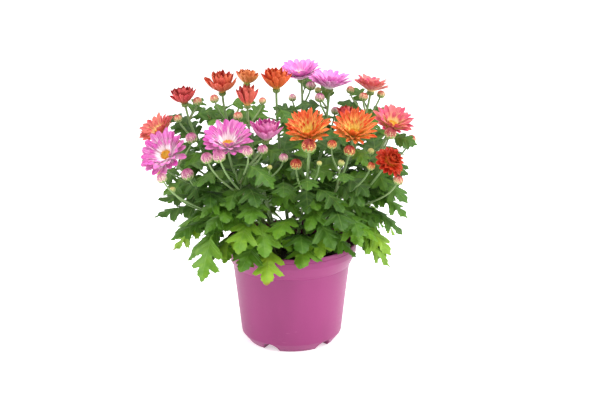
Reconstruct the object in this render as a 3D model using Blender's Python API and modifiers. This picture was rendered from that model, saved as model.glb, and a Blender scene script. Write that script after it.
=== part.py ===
"""A potted chrysanthemum: pink, orange and red flowering shoots planted together in a 120 mm pot.

Metres, +Z up. The origin is the centre of the pot's base, on the surface that the pot stands on.
The plant's front faces -Y.
"""

import math
import random

import bmesh
import bpy
from mathutils import Matrix, Vector
from mathutils.bvhtree import BVHTree

# Pot, as turned radii and heights
POT_HEIGHT = 0.0957
LIP_RADIUS = 0.060
LIP_STRAIGHT = 0.0095
LIP_BOTTOM = 0.0745
SHOULDER_RADIUS = 0.0538
LEDGE_STEP = 0.0008
LEDGE_RISE = 0.0006
LEDGE_DROP = 0.0012
CHAMFER_TOP_RADIUS = 0.0462
CHAMFER_TOP = 0.0085
FOOT_RADIUS = 0.040
FLOOR_FLARE = 0.0012
WALL = 0.0014
POT_SIDES = 32
CUTTER_OVERRUN = 0.010

# Drainage channels under the base, each behind an arch in the foot
CHANNEL_COUNT = 5
CHANNEL_TURN = math.radians(-27)
CHANNEL_RADIUS = 0.0080
CHANNEL_START = 0.019
CHANNEL_END = 0.058
DRAIN_RADIUS = 0.0025
DRAIN_FROM_AXIS = 0.030
DRAIN_CUT_DEPTH = 0.008
CHANNEL_SIDES = 10

# Soil
SOIL_TOP = 0.0835
GAP = 0.0003
SEAT_GAP = 0.0006
STEM_DEPTH = 0.016
STEM_UPRIGHT = 0.003

# Stems
STEM_RADIUS = 0.0019
STEM_TOP_RADIUS = 0.0010
STALK_RADIUS = 0.0010
STALK_TOP_RADIUS = 0.0007
STEM_STEPS = 6
STEM_SPLAY = 0.34
STEM_CLIMB = 0.36
STEM_AXIAL_SHARE = 0.30
STALK_LOWEST, STALK_HIGHEST = 30, 93
STALK_DROP = 0.010
STALK_DROP_SLOPE = 0.75
STALK_OUT_SHARE = 0.56
STALK_UP_SHARE = 0.44
STALK_AXIAL_SHARE = 0.25
SHORT_STALK = 0.020
STEM_CUP_SHARE = 0.97
BLOOM_STALK_CUP = 0.90
BUD_LEAN = 2.0
BUD_LIFT = 0.60
BUD_HEIGHT_SHARE = 0.92
SHOOT_KEEP = 0.78

# Leaves: blade half outline as (along the blade, half width), in shares of the blade's length,
# with the number of the rib point that each outline point is joined to
ROOT_HALF_WIDTH = 0.0008
RIB_RISE = 0.00025
RIB_DEPTH = 0.00080
LARGE_RIB = (0.12, 0.42, 0.72)
LARGE_OUTLINE = (
    (0.10, 0.055, 0),
    (0.37, 0.345, 0),
    (0.43, 0.130, 1),
    (0.69, 0.365, 1),
    (0.73, 0.150, 2),
)
SMALL_RIB = (0.14, 0.62)
SMALL_OUTLINE = (
    (0.12, 0.060, 0),
    (0.52, 0.310, 0),
    (0.64, 0.135, 1),
)
BLADE_DROOP = 0.12
BLADE_MOST = 0.88
LEAF_CLEARANCE = 0.0010
ROOT_FREE = 2.5 * STEM_RADIUS
ROOT_PROBE_FREE = 4 * STEM_RADIUS

# Bloom forms. The core is a stack of rings, each given as (radius, height) and set half a step round
# from the ring below. Each band between two rings carries a layer of petals, from the outside in, as
# (step between filled slots, rise at the base, rise at the tip, reach, full width), where reach is a
# share of the bloom's radius and angles are in degrees above the bloom's plane.
FORMS = {
    "daisy": {
        "slots": 11,
        "rings": ((0.0030, 0.0), (0.0042, 0.0015), (0.0046, 0.0032)),
        "layers": ((1, 32, 24, 0.90, 0.0096), (1, 46, 36, 0.84, 0.0088)),
        "disc": 0.0043,
    },
    "quill": {
        "slots": 10,
        "rings": ((0.0032, 0.0), (0.0044, 0.0014), (0.0046, 0.0028), (0.0044, 0.0042)),
        "layers": ((1, 44, 36, 0.90, 0.0076), (1, 56, 48, 0.86, 0.0068), (1, 66, 62, 0.62, 0.0054)),
        "disc": 0.0040,
    },
    "coral": {
        "slots": 10,
        "rings": ((0.0028, 0.0), (0.0040, 0.0015), (0.0042, 0.0031)),
        "layers": ((1, 32, 24, 0.90, 0.0086), (1, 48, 38, 0.85, 0.0078)),
        "disc": 0.0038,
    },
    "cup": {
        "slots": 8,
        "rings": ((0.0028, 0.0), (0.0036, 0.0016), (0.0030, 0.0036), (0.0014, 0.0046)),
        "layers": ((1, 32, 66, 1.10, 0.0080), (1, 54, 84, 0.98, 0.0070), (2, 74, 96, 0.82, 0.0054)),
        "disc": None,
    },
    "goblet": {
        "slots": 6,
        "rings": ((0.0024, 0.0), (0.0030, 0.0016), (0.0018, 0.0040)),
        "layers": ((1, 50, 80, 1.32, 0.0062), (2, 76, 98, 1.15, 0.0048)),
        "disc": None,
    },
    "double": {
        "slots": 8,
        "rings": ((0.0030, 0.0), (0.0042, 0.0015), (0.0042, 0.0034), (0.0032, 0.0056), (0.0014, 0.0066)),
        "layers": (
            (1, 6, -12, 0.88, 0.0084),
            (1, 32, 20, 0.82, 0.0076),
            (1, 58, 62, 0.68, 0.0062),
            (2, 80, 92, 0.54, 0.0050),
        ),
        "disc": None,
    },
}
PETAL_WIDEST = 0.66
PETAL_TIP_SHARE = 0.58
PETAL_KEEL = 0.0010
PETAL_ARC_SHARE = 0.90
TURN_JITTER = math.radians(2.0)
RISE_JITTER = math.radians(3.5)
REACH_JITTER = 0.07

# Disc of florets
DISC_SIDES = 9
DISC_RINGS = 3
DISC_HEIGHT = 0.0022
DISC_BUMP = 0.00035
DISC_FALL = 0.85

# Shoots: where each one's main stem leaves the soil
SHOOTS = {
    "pink_left": (-0.024, -0.013),
    "pink_front": (-0.013, -0.025),
    "pink_back": (0.001, 0.018),
    "pink_right": (0.012, 0.008),
    "pink_back_left": (-0.012, 0.028),
    "orange_front": (0.004, -0.021),
    "orange_right": (0.018, -0.016),
    "orange_back": (0.012, 0.030),
    "red_left": (-0.033, -0.001),
    "red_high_left": (-0.019, 0.006),
    "red_centre": (-0.011, -0.008),
    "red_middle": (-0.001, -0.003),
    "red_high_right": (0.024, 0.004),
    "red_right": (0.031, -0.010),
    "red_back_right": (0.027, 0.018),
    "red_back_left": (-0.027, 0.016),
}

# Blooms: (name, shoot, form, place of the green cup's top, facing, radius to the petal tips).
# A shoot's first bloom ends its main stem, and its others are carried on side stalks.
BLOOMS = (
    ("pink_left", "pink_left", "daisy", (-0.107, -0.046, 0.186), (-0.35, -0.70, 0.62), 0.0235),
    ("pink_front", "pink_front", "daisy", (-0.054, -0.053, 0.196), (0.00, -0.45, 0.89), 0.0245),
    ("pink_cup", "pink_front", "cup", (-0.022, -0.030, 0.197), (0.08, -0.15, 0.98), 0.0165),
    ("pink_back", "pink_back", "daisy", (0.009, 0.062, 0.232), (-0.10, -0.20, 0.97), 0.0208),
    ("pink_right", "pink_right", "daisy", (0.035, 0.028, 0.230), (0.06, 0.00, 1.00), 0.0210),
    ("pink_behind", "pink_back_left", "daisy", (-0.060, 0.072, 0.166), (-0.25, 0.60, 0.76), 0.0205),
    ("orange_front", "orange_front", "quill", (0.016, -0.049, 0.204), (-0.08, -0.53, 0.84), 0.0245),
    ("orange_right", "orange_right", "quill", (0.055, -0.041, 0.203), (0.05, -0.57, 0.82), 0.0250),
    ("orange_behind", "orange_back", "quill", (0.017, 0.078, 0.178), (-0.05, 0.60, 0.80), 0.0205),
    ("red_middle", "red_middle", "cup", (-0.013, 0.000, 0.236), (0.00, -0.05, 1.00), 0.0170),
    ("red_high_left", "red_high_left", "cup", (-0.062, 0.010, 0.231), (-0.05, -0.15, 0.98), 0.0172),
    ("red_high_behind", "red_high_left", "cup", (-0.041, 0.040, 0.232), (0.10, 0.05, 0.99), 0.0115),
    ("red_goblet", "red_centre", "goblet", (-0.038, -0.025, 0.227), (0.02, -0.06, 1.00), 0.0130),
    ("red_far_left", "red_left", "cup", (-0.095, 0.000, 0.223), (-0.15, -0.05, 0.98), 0.0130),
    ("coral_left", "red_left", "coral", (-0.116, -0.006, 0.196), (-0.45, -0.30, 0.84), 0.0185),
    ("coral_high_right", "red_high_right", "coral", (0.073, 0.035, 0.226), (0.14, 0.04, 0.98), 0.0170),
    ("red_opening", "red_high_right", "goblet", (0.049, -0.005, 0.209), (0.00, 0.00, 1.00), 0.0085),
    ("coral_right", "red_right", "coral", (0.089, -0.017, 0.205), (0.25, -0.42, 0.87), 0.0200),
    ("red_double", "red_right", "double", (0.085, -0.052, 0.182), (0.40, -0.55, 0.62), 0.0120),
    ("coral_behind_right", "red_back_right", "coral", (0.094, 0.046, 0.190), (0.50, 0.60, 0.62), 0.0165),
    ("coral_behind_left", "red_back_left", "coral", (-0.112, 0.038, 0.163), (-0.60, 0.45, 0.66), 0.0180),
)

# Buds: (shoot, centre, radius)
BUDS = (
    ("pink_left", (-0.110, -0.078, 0.176), 0.0045),
    ("pink_left", (-0.090, -0.052, 0.172), 0.0055),
    ("pink_left", (-0.103, -0.055, 0.159), 0.0027),
    ("pink_left", (-0.088, -0.026, 0.198), 0.0052),
    ("pink_front", (-0.071, -0.079, 0.194), 0.0050),
    ("pink_front", (-0.060, -0.088, 0.198), 0.0054),
    ("pink_front", (-0.036, -0.080, 0.200), 0.0045),
    ("pink_front", (-0.024, -0.054, 0.195), 0.0045),
    ("pink_front", (-0.006, -0.052, 0.187), 0.0040),
    ("pink_front", (-0.018, -0.058, 0.180), 0.0023),
    ("pink_back", (0.001, 0.043, 0.219), 0.0037),
    ("pink_back", (0.018, 0.048, 0.229), 0.0045),
    ("pink_right", (0.026, 0.017, 0.225), 0.0045),
    ("pink_right", (0.0245, 0.027, 0.2295), 0.0031),
    ("pink_right", (0.041, 0.054, 0.204), 0.0040),
    ("pink_back_left", (-0.040, 0.084, 0.160), 0.0045),
    ("pink_back_left", (-0.081, 0.072, 0.156), 0.0050),
    ("pink_back_left", (-0.060, 0.094, 0.146), 0.0035),
    ("orange_front", (0.016, -0.087, 0.207), 0.0062),
    ("orange_front", (0.005, -0.070, 0.186), 0.0050),
    ("orange_front", (0.025, -0.070, 0.187), 0.0023),
    ("orange_right", (0.036, -0.064, 0.202), 0.0042),
    ("orange_right", (0.051, -0.066, 0.197), 0.0050),
    ("orange_right", (0.044, -0.062, 0.185), 0.0030),
    ("orange_right", (0.070, -0.054, 0.180), 0.0038),
    ("orange_back", (0.036, 0.092, 0.170), 0.0050),
    ("orange_back", (0.001, 0.094, 0.164), 0.0045),
    ("orange_back", (0.080, 0.072, 0.168), 0.0042),
    ("red_left", (-0.101, -0.008, 0.2115), 0.0037),
    ("red_left", (-0.125, -0.012, 0.181), 0.0031),
    ("red_left", (-0.084, 0.002, 0.225), 0.0041),
    ("red_high_left", (-0.068, -0.010, 0.230), 0.0041),
    ("red_high_left", (-0.075, 0.010, 0.208), 0.0028),
    ("red_centre", (-0.046, -0.032, 0.2195), 0.0040),
    ("red_centre", (-0.025, -0.016, 0.2295), 0.0033),
    ("red_high_right", (0.0545, 0.040, 0.227), 0.0038),
    ("red_high_right", (0.066, 0.022, 0.2245), 0.0042),
    ("red_high_right", (0.083, 0.044, 0.222), 0.0038),
    ("red_right", (0.087, -0.046, 0.2075), 0.0054),
    ("red_right", (0.108, -0.010, 0.193), 0.0041),
    ("red_right", (0.094, -0.056, 0.168), 0.0044),
    ("red_right", (0.071, -0.030, 0.187), 0.0030),
    ("red_back_right", (0.098, 0.054, 0.160), 0.0045),
    ("red_back_right", (0.084, 0.066, 0.178), 0.0040),
    ("red_back_left", (-0.104, 0.058, 0.150), 0.0045),
    ("red_back_left", (-0.124, 0.048, 0.146), 0.0038),
)

# Leaves set by hand: (shoot, share of the stem below it, tip, blade length, rise of the arch)
SET_LEAVES = (
    ("red_left", 0.30, (-0.119, -0.030, 0.142), 0.044, 0.012),
    ("pink_left", 0.36, (-0.121, -0.047, 0.131), 0.046, 0.016),
    ("pink_left", 0.26, (-0.106, -0.054, 0.112), 0.040, 0.020),
    ("red_left", 0.16, (-0.107, -0.026, 0.093), 0.042, 0.030),
    ("pink_left", 0.30, (-0.079, -0.066, 0.077), 0.043, 0.050),
    ("red_left", 0.10, (-0.060, -0.045, 0.087), 0.034, 0.030),
    ("pink_front", 0.30, (-0.045, -0.090, 0.111), 0.044, 0.030),
    ("red_centre", 0.34, (-0.035, -0.092, 0.139), 0.040, 0.024),
    ("orange_front", 0.24, (-0.012, -0.082, 0.122), 0.038, 0.024),
    ("pink_front", 0.12, (-0.021, -0.083, 0.080), 0.040, 0.026),
    ("pink_front", 0.06, (-0.046, -0.064, 0.087), 0.030, 0.018),
    ("orange_front", 0.16, (0.014, -0.057, 0.124), 0.030, 0.012),
    ("orange_front", 0.05, (0.006, -0.060, 0.099), 0.028, 0.014),
    ("orange_right", 0.14, (0.026, -0.067, 0.099), 0.034, 0.030),
    ("orange_right", 0.06, (0.044, -0.055, 0.100), 0.026, 0.014),
    ("orange_right", 0.32, (0.045, -0.086, 0.131), 0.040, 0.026),
    ("red_right", 0.24, (0.060, -0.070, 0.120), 0.038, 0.026),
    ("red_right", 0.12, (0.085, -0.045, 0.091), 0.046, 0.030),
    ("red_right", 0.30, (0.096, -0.008, 0.100), 0.042, 0.034),
    ("red_right", 0.42, (0.101, -0.018, 0.141), 0.046, 0.014),
    ("red_high_right", 0.56, (0.108, 0.008, 0.160), 0.042, 0.014),
    ("orange_front", 0.62, (0.015, -0.092, 0.169), 0.032, 0.018),
    ("orange_right", 0.60, (0.046, -0.091, 0.170), 0.032, 0.018),
    ("red_middle", 0.40, (-0.006, -0.076, 0.158), 0.036, 0.016),
    ("pink_front", 0.80, (-0.014, -0.084, 0.168), 0.036, 0.018),
    ("pink_front", 0.66, (-0.080, -0.074, 0.161), 0.036, 0.018),
    ("red_left", 0.62, (-0.092, -0.036, 0.166), 0.034, 0.016),
    ("red_high_left", 0.84, (-0.073, -0.020, 0.208), 0.026, 0.012),
    ("red_middle", 0.80, (0.004, -0.026, 0.196), 0.026, 0.012),
)

SET_SIZES = (1.0, 0.86, 0.74)
SET_LIFTS = (0.0, 0.006, -0.006, 0.012)
SET_SLIDES = (0.0, 0.05, -0.05, 0.10, -0.08)
SET_LOWEST = 0.03

# Leaves set by rule: how they climb each stem
LEAF_START = 0.12
LEAF_STEP = 0.095
LEAVES_PER_SHOOT = 7
LEAF_TURN = math.radians(137.5)
LOW_BLADE = 0.046
HIGH_BLADE = 0.029
HIGH_SHARE = 0.80
SMALL_BLADE = 0.029
OUTWARD_PULL = 0.55
PULL_PER_METRE = 25
LEAF_SLOPE = -30
LEAF_SLOPE_GAIN = 42
LEAF_REACH = 1.30
LEAF_ARCH = 0.38
TURNS_TRIED = (0, 25, -25, 50, -50, 80, -80, 115, -115, 155)
TILTS_TRIED = (0, 16, -16, 32)
SIZES_TRIED = (1.0, 0.84, 0.68)
LEAF_REACH_LIMIT = 0.112
FRONT_LEAF_TOP = 0.166
FRONT_LIMIT = -0.030

COLOURS = {
    "pot": ((0.42, 0.075, 0.25), 0.35),
    "soil": ((0.022, 0.014, 0.009), 0.95),
    "leaf": ((0.085, 0.25, 0.035), 0.55),
    "pink": ((0.72, 0.12, 0.45), 0.50),
    "orange": ((0.85, 0.16, 0.03), 0.50),
    "red": ((0.50, 0.02, 0.03), 0.50),
    "coral": ((0.80, 0.08, 0.12), 0.50),
    "disc": ((0.90, 0.50, 0.04), 0.60),
}


def clear_scene():
    for obj in list(bpy.data.objects):
        bpy.data.objects.remove(obj, do_unlink=True)


def new_collection(name):
    collection = bpy.data.collections.new(name)
    bpy.context.scene.collection.children.link(collection)
    return collection


def material_for(key):
    existing = bpy.data.materials.get(key)
    if existing:
        return existing
    colour, roughness = COLOURS[key]
    material = bpy.data.materials.new(key)
    material.use_nodes = True
    shader = material.node_tree.nodes["Principled BSDF"]
    shader.inputs["Base Color"].default_value = (*colour, 1.0)
    shader.inputs["Roughness"].default_value = roughness
    shader.inputs["Metallic"].default_value = 0.0
    return material


def object_from_bmesh(name, bm, collection):
    """An object from a closed bmesh, with its faces turned outwards."""
    bmesh.ops.recalc_face_normals(bm, faces=bm.faces)
    mesh = bpy.data.meshes.new(name)
    bm.to_mesh(mesh)
    bm.free()
    obj = bpy.data.objects.new(name, mesh)
    collection.objects.link(obj)
    return obj


def object_from_faces(name, points, faces, collection):
    bm = bmesh.new()
    corners = [bm.verts.new(point) for point in points]
    for face in faces:
        bm.faces.new([corners[i] for i in face])
    return object_from_bmesh(name, bm, collection)


def evaluated_mesh(obj):
    bpy.context.view_layer.update()
    graph = bpy.context.evaluated_depsgraph_get()
    return bpy.data.meshes.new_from_object(obj.evaluated_get(graph))


def add_boolean(obj, cutter, operation):
    modifier = obj.modifiers.new(operation.title(), "BOOLEAN")
    modifier.operation = operation
    modifier.object = cutter
    return modifier


def hide_cutter(obj):
    obj.hide_render = True
    obj.display_type = "WIRE"


def unite(name, pieces, colour, collection):
    """One body, from a first piece and the repeats that are sunk into it."""
    body = pieces[0]
    repeats = new_collection(name + "_repeats")
    for piece in pieces[1:]:
        for owner in list(piece.users_collection):
            owner.objects.unlink(piece)
        repeats.objects.link(piece)
    union = body.modifiers.new("Union", "BOOLEAN")
    union.operation = "UNION"
    union.operand_type = "COLLECTION"
    union.collection = repeats
    union.solver = "MANIFOLD"
    thin = body.modifiers.new("Thin", "DECIMATE")
    thin.ratio = SHOOT_KEEP
    mesh = evaluated_mesh(body)
    for piece in pieces:
        bpy.data.objects.remove(piece, do_unlink=True)
    bpy.data.collections.remove(repeats)
    mesh.name = name
    mesh.materials.clear()
    mesh.materials.append(material_for(colour))
    obj = bpy.data.objects.new(name, mesh)
    collection.objects.link(obj)
    return obj


# Curves


def bezier(points, t):
    """A point on the curve of these control points."""
    points = [Vector(p) for p in points]
    while len(points) > 1:
        points = [a.lerp(b, t) for a, b in zip(points, points[1:])]
    return points[0]


def stem_controls(shoot, place, facing):
    """The main stem leans out as it climbs and turns to meet its bloom along the bloom's axis."""
    foot = Vector((*SHOOTS[shoot], SOIL_TOP + STEM_UPRIGHT))
    top = Vector(place)
    out = Vector((top.x - foot.x, top.y - foot.y, 0.0))
    rise = top.z - foot.z
    lower = foot + STEM_SPLAY * out + Vector((0, 0, STEM_CLIMB * rise))
    upper = top - STEM_AXIAL_SHARE * rise * Vector(facing).normalized()
    return foot, lower, upper, top


def main_bloom(shoot):
    return next(bloom for bloom in BLOOMS if bloom[1] == shoot)


def stem_point(shoot, t):
    _, _, _, place, facing, _ = main_bloom(shoot)
    return bezier(stem_controls(shoot, place, facing), t)


def stalk_start(shoot, place):
    """The share of the main stem below the stalk to this place: lower the further out it is."""
    best = STALK_LOWEST / 100
    for step in range(STALK_LOWEST, STALK_HIGHEST):
        t = step / 100
        point = stem_point(shoot, t)
        aside = math.hypot(place[0] - point.x, place[1] - point.y)
        if point.z < place[2] - STALK_DROP - STALK_DROP_SLOPE * aside:
            best = t
    return best


def stalk_controls(shoot, place, facing):
    """A side stalk sweeps out from the stem, then up, and ends along its bloom's or bud's axis."""
    t = stalk_start(shoot, place)
    start = stem_point(shoot, t)
    end = Vector(place)
    across = start.lerp(end, STALK_OUT_SHARE)
    climb = start.lerp(end, STALK_UP_SHARE)
    middle = Vector((across.x, across.y, climb.z))
    last = end - STALK_AXIAL_SHARE * (end - start).length * Vector(facing).normalized()
    return start, middle, last, end


def bud_facing(place):
    """A bud looks up and a little out from the plant's middle."""
    return Vector((BUD_LEAN * place[0], BUD_LEAN * place[1], BUD_LIFT)).normalized()


# Pot


def pot_outside():
    """Outer radii and heights, from the lip's inner edge down to the foot."""
    return (
        (LIP_RADIUS - WALL, POT_HEIGHT),
        (LIP_RADIUS, POT_HEIGHT),
        (LIP_RADIUS, POT_HEIGHT - LIP_STRAIGHT),
        (SHOULDER_RADIUS + LEDGE_STEP, LIP_BOTTOM + LEDGE_RISE),
        (SHOULDER_RADIUS, LIP_BOTTOM - LEDGE_DROP),
        (CHAMFER_TOP_RADIUS, CHAMFER_TOP),
        (FOOT_RADIUS, 0.0),
    )


def pot_inside(clearance=0.0):
    """Inner radii and heights, from the lip down to the floor, drawn in by a clearance."""
    inset = WALL + clearance
    return (
        (LIP_RADIUS - inset, POT_HEIGHT - LIP_STRAIGHT),
        (SHOULDER_RADIUS - inset, LIP_BOTTOM - LEDGE_DROP),
        (CHAMFER_TOP_RADIUS - inset, CHAMFER_TOP + 0.3 * inset),
        (FOOT_RADIUS + FLOOR_FLARE - inset, inset),
    )


def turned(name, profile, sides, collection):
    """A closed solid: a profile of (radius, height) from the axis back to the axis, turned about Z."""
    bm = bmesh.new()
    corners = [bm.verts.new((radius, 0.0, height)) for radius, height in profile]
    for first, second in zip(corners, corners[1:]):
        bm.edges.new((first, second))
    mesh = bpy.data.meshes.new(name)
    bm.to_mesh(mesh)
    bm.free()
    obj = bpy.data.objects.new(name, mesh)
    collection.objects.link(obj)
    screw = obj.modifiers.new("Screw", "SCREW")
    screw.axis = "Z"
    screw.steps = sides
    screw.render_steps = sides
    screw.use_merge_vertices = True
    screw.merge_threshold = 0.00005
    flat = obj.modifiers.new("Flat faces", "DECIMATE")
    flat.decimate_type = "DISSOLVE"
    flat.angle_limit = math.radians(0.5)
    return obj


def channel_solids(name, clearance, collection):
    """Lying cylinders, one along each drainage channel, swollen by a clearance."""
    bm = bmesh.new()
    near_end = CHANNEL_START - clearance
    for index in range(CHANNEL_COUNT):
        turn = CHANNEL_TURN + index * math.tau / CHANNEL_COUNT - math.radians(90)
        middle = Matrix.Translation((0.5 * (near_end + CHANNEL_END), 0, 0))
        place = Matrix.Rotation(turn, 4, "Z") @ middle
        bmesh.ops.create_cone(
            bm,
            cap_ends=True,
            segments=CHANNEL_SIDES,
            radius1=CHANNEL_RADIUS + clearance,
            radius2=CHANNEL_RADIUS + clearance,
            depth=CHANNEL_END - near_end,
            matrix=place @ Matrix.Rotation(math.radians(90), 4, "Y"),
        )
    return object_from_bmesh(name, bm, collection)


def add_pot(collection, cutters):
    """A moulded shell whose floor rises over each channel, so that the arches open nowhere but below."""
    top = POT_HEIGHT
    outside = turned("pot", ((0.0, top), *pot_outside(), (0.0, 0.0)), POT_SIDES, collection)
    over = top + CUTTER_OVERRUN
    cavity_profile = ((0.0, over), (LIP_RADIUS - WALL, over), *pot_inside(), (0.0, WALL))
    cavity = turned("pot_cavity", cavity_profile, POT_SIDES, cutters)
    hoods = channel_solids("channel_hoods", WALL, cutters)
    add_boolean(cavity, hoods, "DIFFERENCE")
    add_boolean(outside, cavity, "DIFFERENCE")
    channels = channel_solids("channels", 0.0, cutters)
    add_boolean(outside, channels, "DIFFERENCE")
    drains = bmesh.new()
    for index in range(CHANNEL_COUNT):
        turn = CHANNEL_TURN + index * math.tau / CHANNEL_COUNT - math.radians(90)
        place = (DRAIN_FROM_AXIS * math.cos(turn), DRAIN_FROM_AXIS * math.sin(turn), CHANNEL_RADIUS)
        bmesh.ops.create_cone(
            drains,
            cap_ends=True,
            segments=6,
            radius1=DRAIN_RADIUS,
            radius2=DRAIN_RADIUS,
            depth=DRAIN_CUT_DEPTH,
            matrix=Matrix.Translation(place),
        )
    drain_holes = object_from_bmesh("drain_holes", drains, cutters)
    add_boolean(outside, drain_holes, "DIFFERENCE")
    for cutter in (cavity, hoods, channels, drain_holes):
        hide_cutter(cutter)
    outside.data.materials.append(material_for("pot"))
    return outside


def add_soil(collection, cutters):
    """The soil ball fills the pot with a small gap, and has a plain hole for each stem."""
    lip, shoulder, *below = pot_inside(GAP)
    share = (SOIL_TOP - shoulder[1]) / (lip[1] - shoulder[1])
    edge = shoulder[0] + share * (lip[0] - shoulder[0])
    floor = below[-1][1]
    profile = ((0.0, SOIL_TOP), (edge, SOIL_TOP), shoulder, *below, (0.0, floor))
    soil = turned("soil", profile, POT_SIDES, collection)
    hoods = channel_solids("soil_channels", WALL + GAP, cutters)
    add_boolean(soil, hoods, "DIFFERENCE")
    holes = bmesh.new()
    depth = STEM_DEPTH + 2 * GAP
    for x, y in SHOOTS.values():
        bmesh.ops.create_cone(
            holes,
            cap_ends=True,
            segments=6,
            radius1=STEM_RADIUS + 2 * GAP,
            radius2=STEM_RADIUS + 2 * GAP,
            depth=2 * depth,
            matrix=Matrix.Translation((x, y, SOIL_TOP)),
        )
    stem_holes = object_from_bmesh("stem_holes", holes, cutters)
    add_boolean(soil, stem_holes, "DIFFERENCE")
    for cutter in (hoods, stem_holes):
        hide_cutter(cutter)
    soil.data.materials.append(material_for("soil"))
    return soil


# Petals


def petal_point(base_radius, base_height, rise_base, rise_tip, length, t):
    """(radius, height, slope) at share t of a petal's spine, which bends evenly from base to tip."""
    slope = rise_base + (rise_tip - rise_base) * t
    bend = rise_tip - rise_base
    if abs(bend) < 1e-3:
        return (
            base_radius + length * t * math.cos(slope),
            base_height + length * t * math.sin(slope),
            slope,
        )
    return (
        base_radius + length * (math.sin(slope) - math.sin(rise_base)) / bend,
        base_height - length * (math.cos(slope) - math.cos(rise_base)) / bend,
        slope,
    )


def petal_plan(name, form, radius):
    """Each petal of a bloom: its band, slot, turn, root, rises, length, half width and share of the turn."""
    slots, rings = FORMS[form]["slots"], FORMS[form]["rings"]
    start = random.Random(name).uniform(0, math.tau)
    plan = []
    for band, (step, rise_base, rise_tip, reach, width) in enumerate(FORMS[form]["layers"]):
        draw = random.Random(f"{name} {band}")
        base_radius = rings[band + 1][0] * math.cos(math.pi / slots)
        for slot in range(0, slots, step):
            turn = start + (slot + 0.5 * band) * math.tau / slots
            lift = draw.uniform(-RISE_JITTER, RISE_JITTER)
            plan.append(
                {
                    "band": band,
                    "slot": slot,
                    "turn": turn + draw.uniform(-TURN_JITTER, TURN_JITTER),
                    "root": (base_radius, rings[band + 1][1]),
                    "rise": (math.radians(rise_base) + lift, math.radians(rise_tip) + lift),
                    "length": reach * radius * (1 + draw.uniform(-REACH_JITTER, REACH_JITTER)),
                    "half_width": 0.5 * width,
                    "half_step": step * math.pi / slots,
                }
            )
    return start, plan


def petal_section(petal, t, share):
    """Left, right and keel points across a petal."""
    radius, height, slope = petal_point(*petal["root"], *petal["rise"], petal["length"], t)
    turn = petal["turn"]
    out = Vector((math.cos(turn), math.sin(turn), 0.0))
    side = Vector((-math.sin(turn), math.cos(turn), 0.0))
    up = -math.sin(slope) * out + Vector((0, 0, math.cos(slope)))
    room = PETAL_ARC_SHARE * radius * math.tan(petal["half_step"])
    wide = min(petal["half_width"] * share, room)
    centre = radius * out + Vector((0, 0, height))
    return centre + wide * side, centre - wide * side, centre - PETAL_KEEL * up


def add_petals(name, form, radius, frame, collection):
    """A core of rings in a triangle pattern, with a blunt keeled petal drawn out of each filled slot."""
    slots, rings = FORMS[form]["slots"], FORMS[form]["rings"]
    start, plan = petal_plan(name, form, radius)
    petals = {(petal["band"], petal["slot"]): petal for petal in plan}
    points, faces = [], []
    for ring, (ring_radius, height) in enumerate(rings):
        for slot in range(slots):
            turn = start + (slot + 0.5 * ring) * math.tau / slots
            points.append(Vector((ring_radius * math.cos(turn), ring_radius * math.sin(turn), height)))
    faces.append(tuple(reversed(range(slots))))
    faces.append(tuple(range((len(rings) - 1) * slots, len(rings) * slots)))
    for band in range(len(rings) - 1):
        for slot in range(slots):
            keel = band * slots + slot
            keel_after = band * slots + (slot + 1) % slots
            left = (band + 1) * slots + slot
            right = (band + 1) * slots + (slot - 1) % slots
            faces.append((keel, keel_after, left))
            petal = petals.get((band, slot))
            if petal is None:
                faces.append((keel, left, right))
                continue
            first = len(points)
            points.extend(petal_section(petal, PETAL_WIDEST, 1.0))
            points.extend(petal_section(petal, 1.0, PETAL_TIP_SHARE)[:2])
            left1, right1, keel1, left2, right2 = range(first, first + 5)
            faces.append((right, left, left1, right1))
            faces.append((left, keel, keel1, left1))
            faces.append((keel, right, right1, keel1))
            faces.append((right1, left1, left2, right2))
            faces.append((left1, keel1, left2))
            faces.append((keel1, right1, right2))
            faces.append((keel1, right2, left2))
    placed = [frame @ point for point in points]
    petals_object = object_from_faces(name + "_petals", placed, faces, collection)
    petals_object.data.materials.append(material_for(petal_colour(name)))
    return petals_object


def petal_colour(name):
    return name.split("_")[0]


def bloom_frame(place, facing):
    turn = Vector((0, 0, 1)).rotation_difference(Vector(facing).normalized())
    return Matrix.Translation(place) @ turn.to_matrix().to_4x4()


def add_disc(name, radius, frame, collection):
    """A low dome whose florets are a relief of alternating bumps."""
    sides, rings = DISC_SIDES, DISC_RINGS
    points = [frame @ Vector((0, 0, DISC_HEIGHT + DISC_BUMP))]
    for ring in range(1, rings + 1):
        share = ring / rings
        dome = DISC_HEIGHT * math.sqrt(1 - DISC_FALL * share**2)
        for index in range(sides):
            turn = math.tau * (index + 0.5 * (ring % 2)) / sides
            level = 0.0 if ring == rings else dome + DISC_BUMP * (-1) ** (index + ring)
            out = radius * share
            points.append(frame @ Vector((out * math.cos(turn), out * math.sin(turn), level)))
    faces = [tuple(range(1 + sides * (rings - 1), 1 + sides * rings))]
    for index in range(sides):
        faces.append((0, 1 + index, 1 + (index + 1) % sides))
    for ring in range(rings - 1):
        inner = 1 + ring * sides
        outer = inner + sides
        lead = 1 if ring % 2 == 0 else 0
        for index in range(sides):
            after = (index + 1) % sides
            ahead = (index + lead) % sides
            behind = (index + lead - 1) % sides
            faces.append((inner + index, outer + ahead, outer + behind))
            faces.append((inner + index, inner + after, outer + ahead))
    disc = object_from_faces(name, points, faces, collection)
    disc.data.materials.append(material_for("disc"))
    return disc


def add_bloom(bloom, collection):
    name, _, form, place, facing, radius = bloom
    frame = bloom_frame(place, facing)
    made = [add_petals(name, form, radius, frame @ Matrix.Translation((0, 0, SEAT_GAP)), collection)]
    disc_radius = FORMS[form]["disc"]
    if disc_radius:
        core_height = FORMS[form]["rings"][-1][1]
        top = frame @ Matrix.Translation((0, 0, SEAT_GAP + core_height + GAP))
        made.append(add_disc(name + "_disc", disc_radius, top, collection))
    return made


# Shoots


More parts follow.
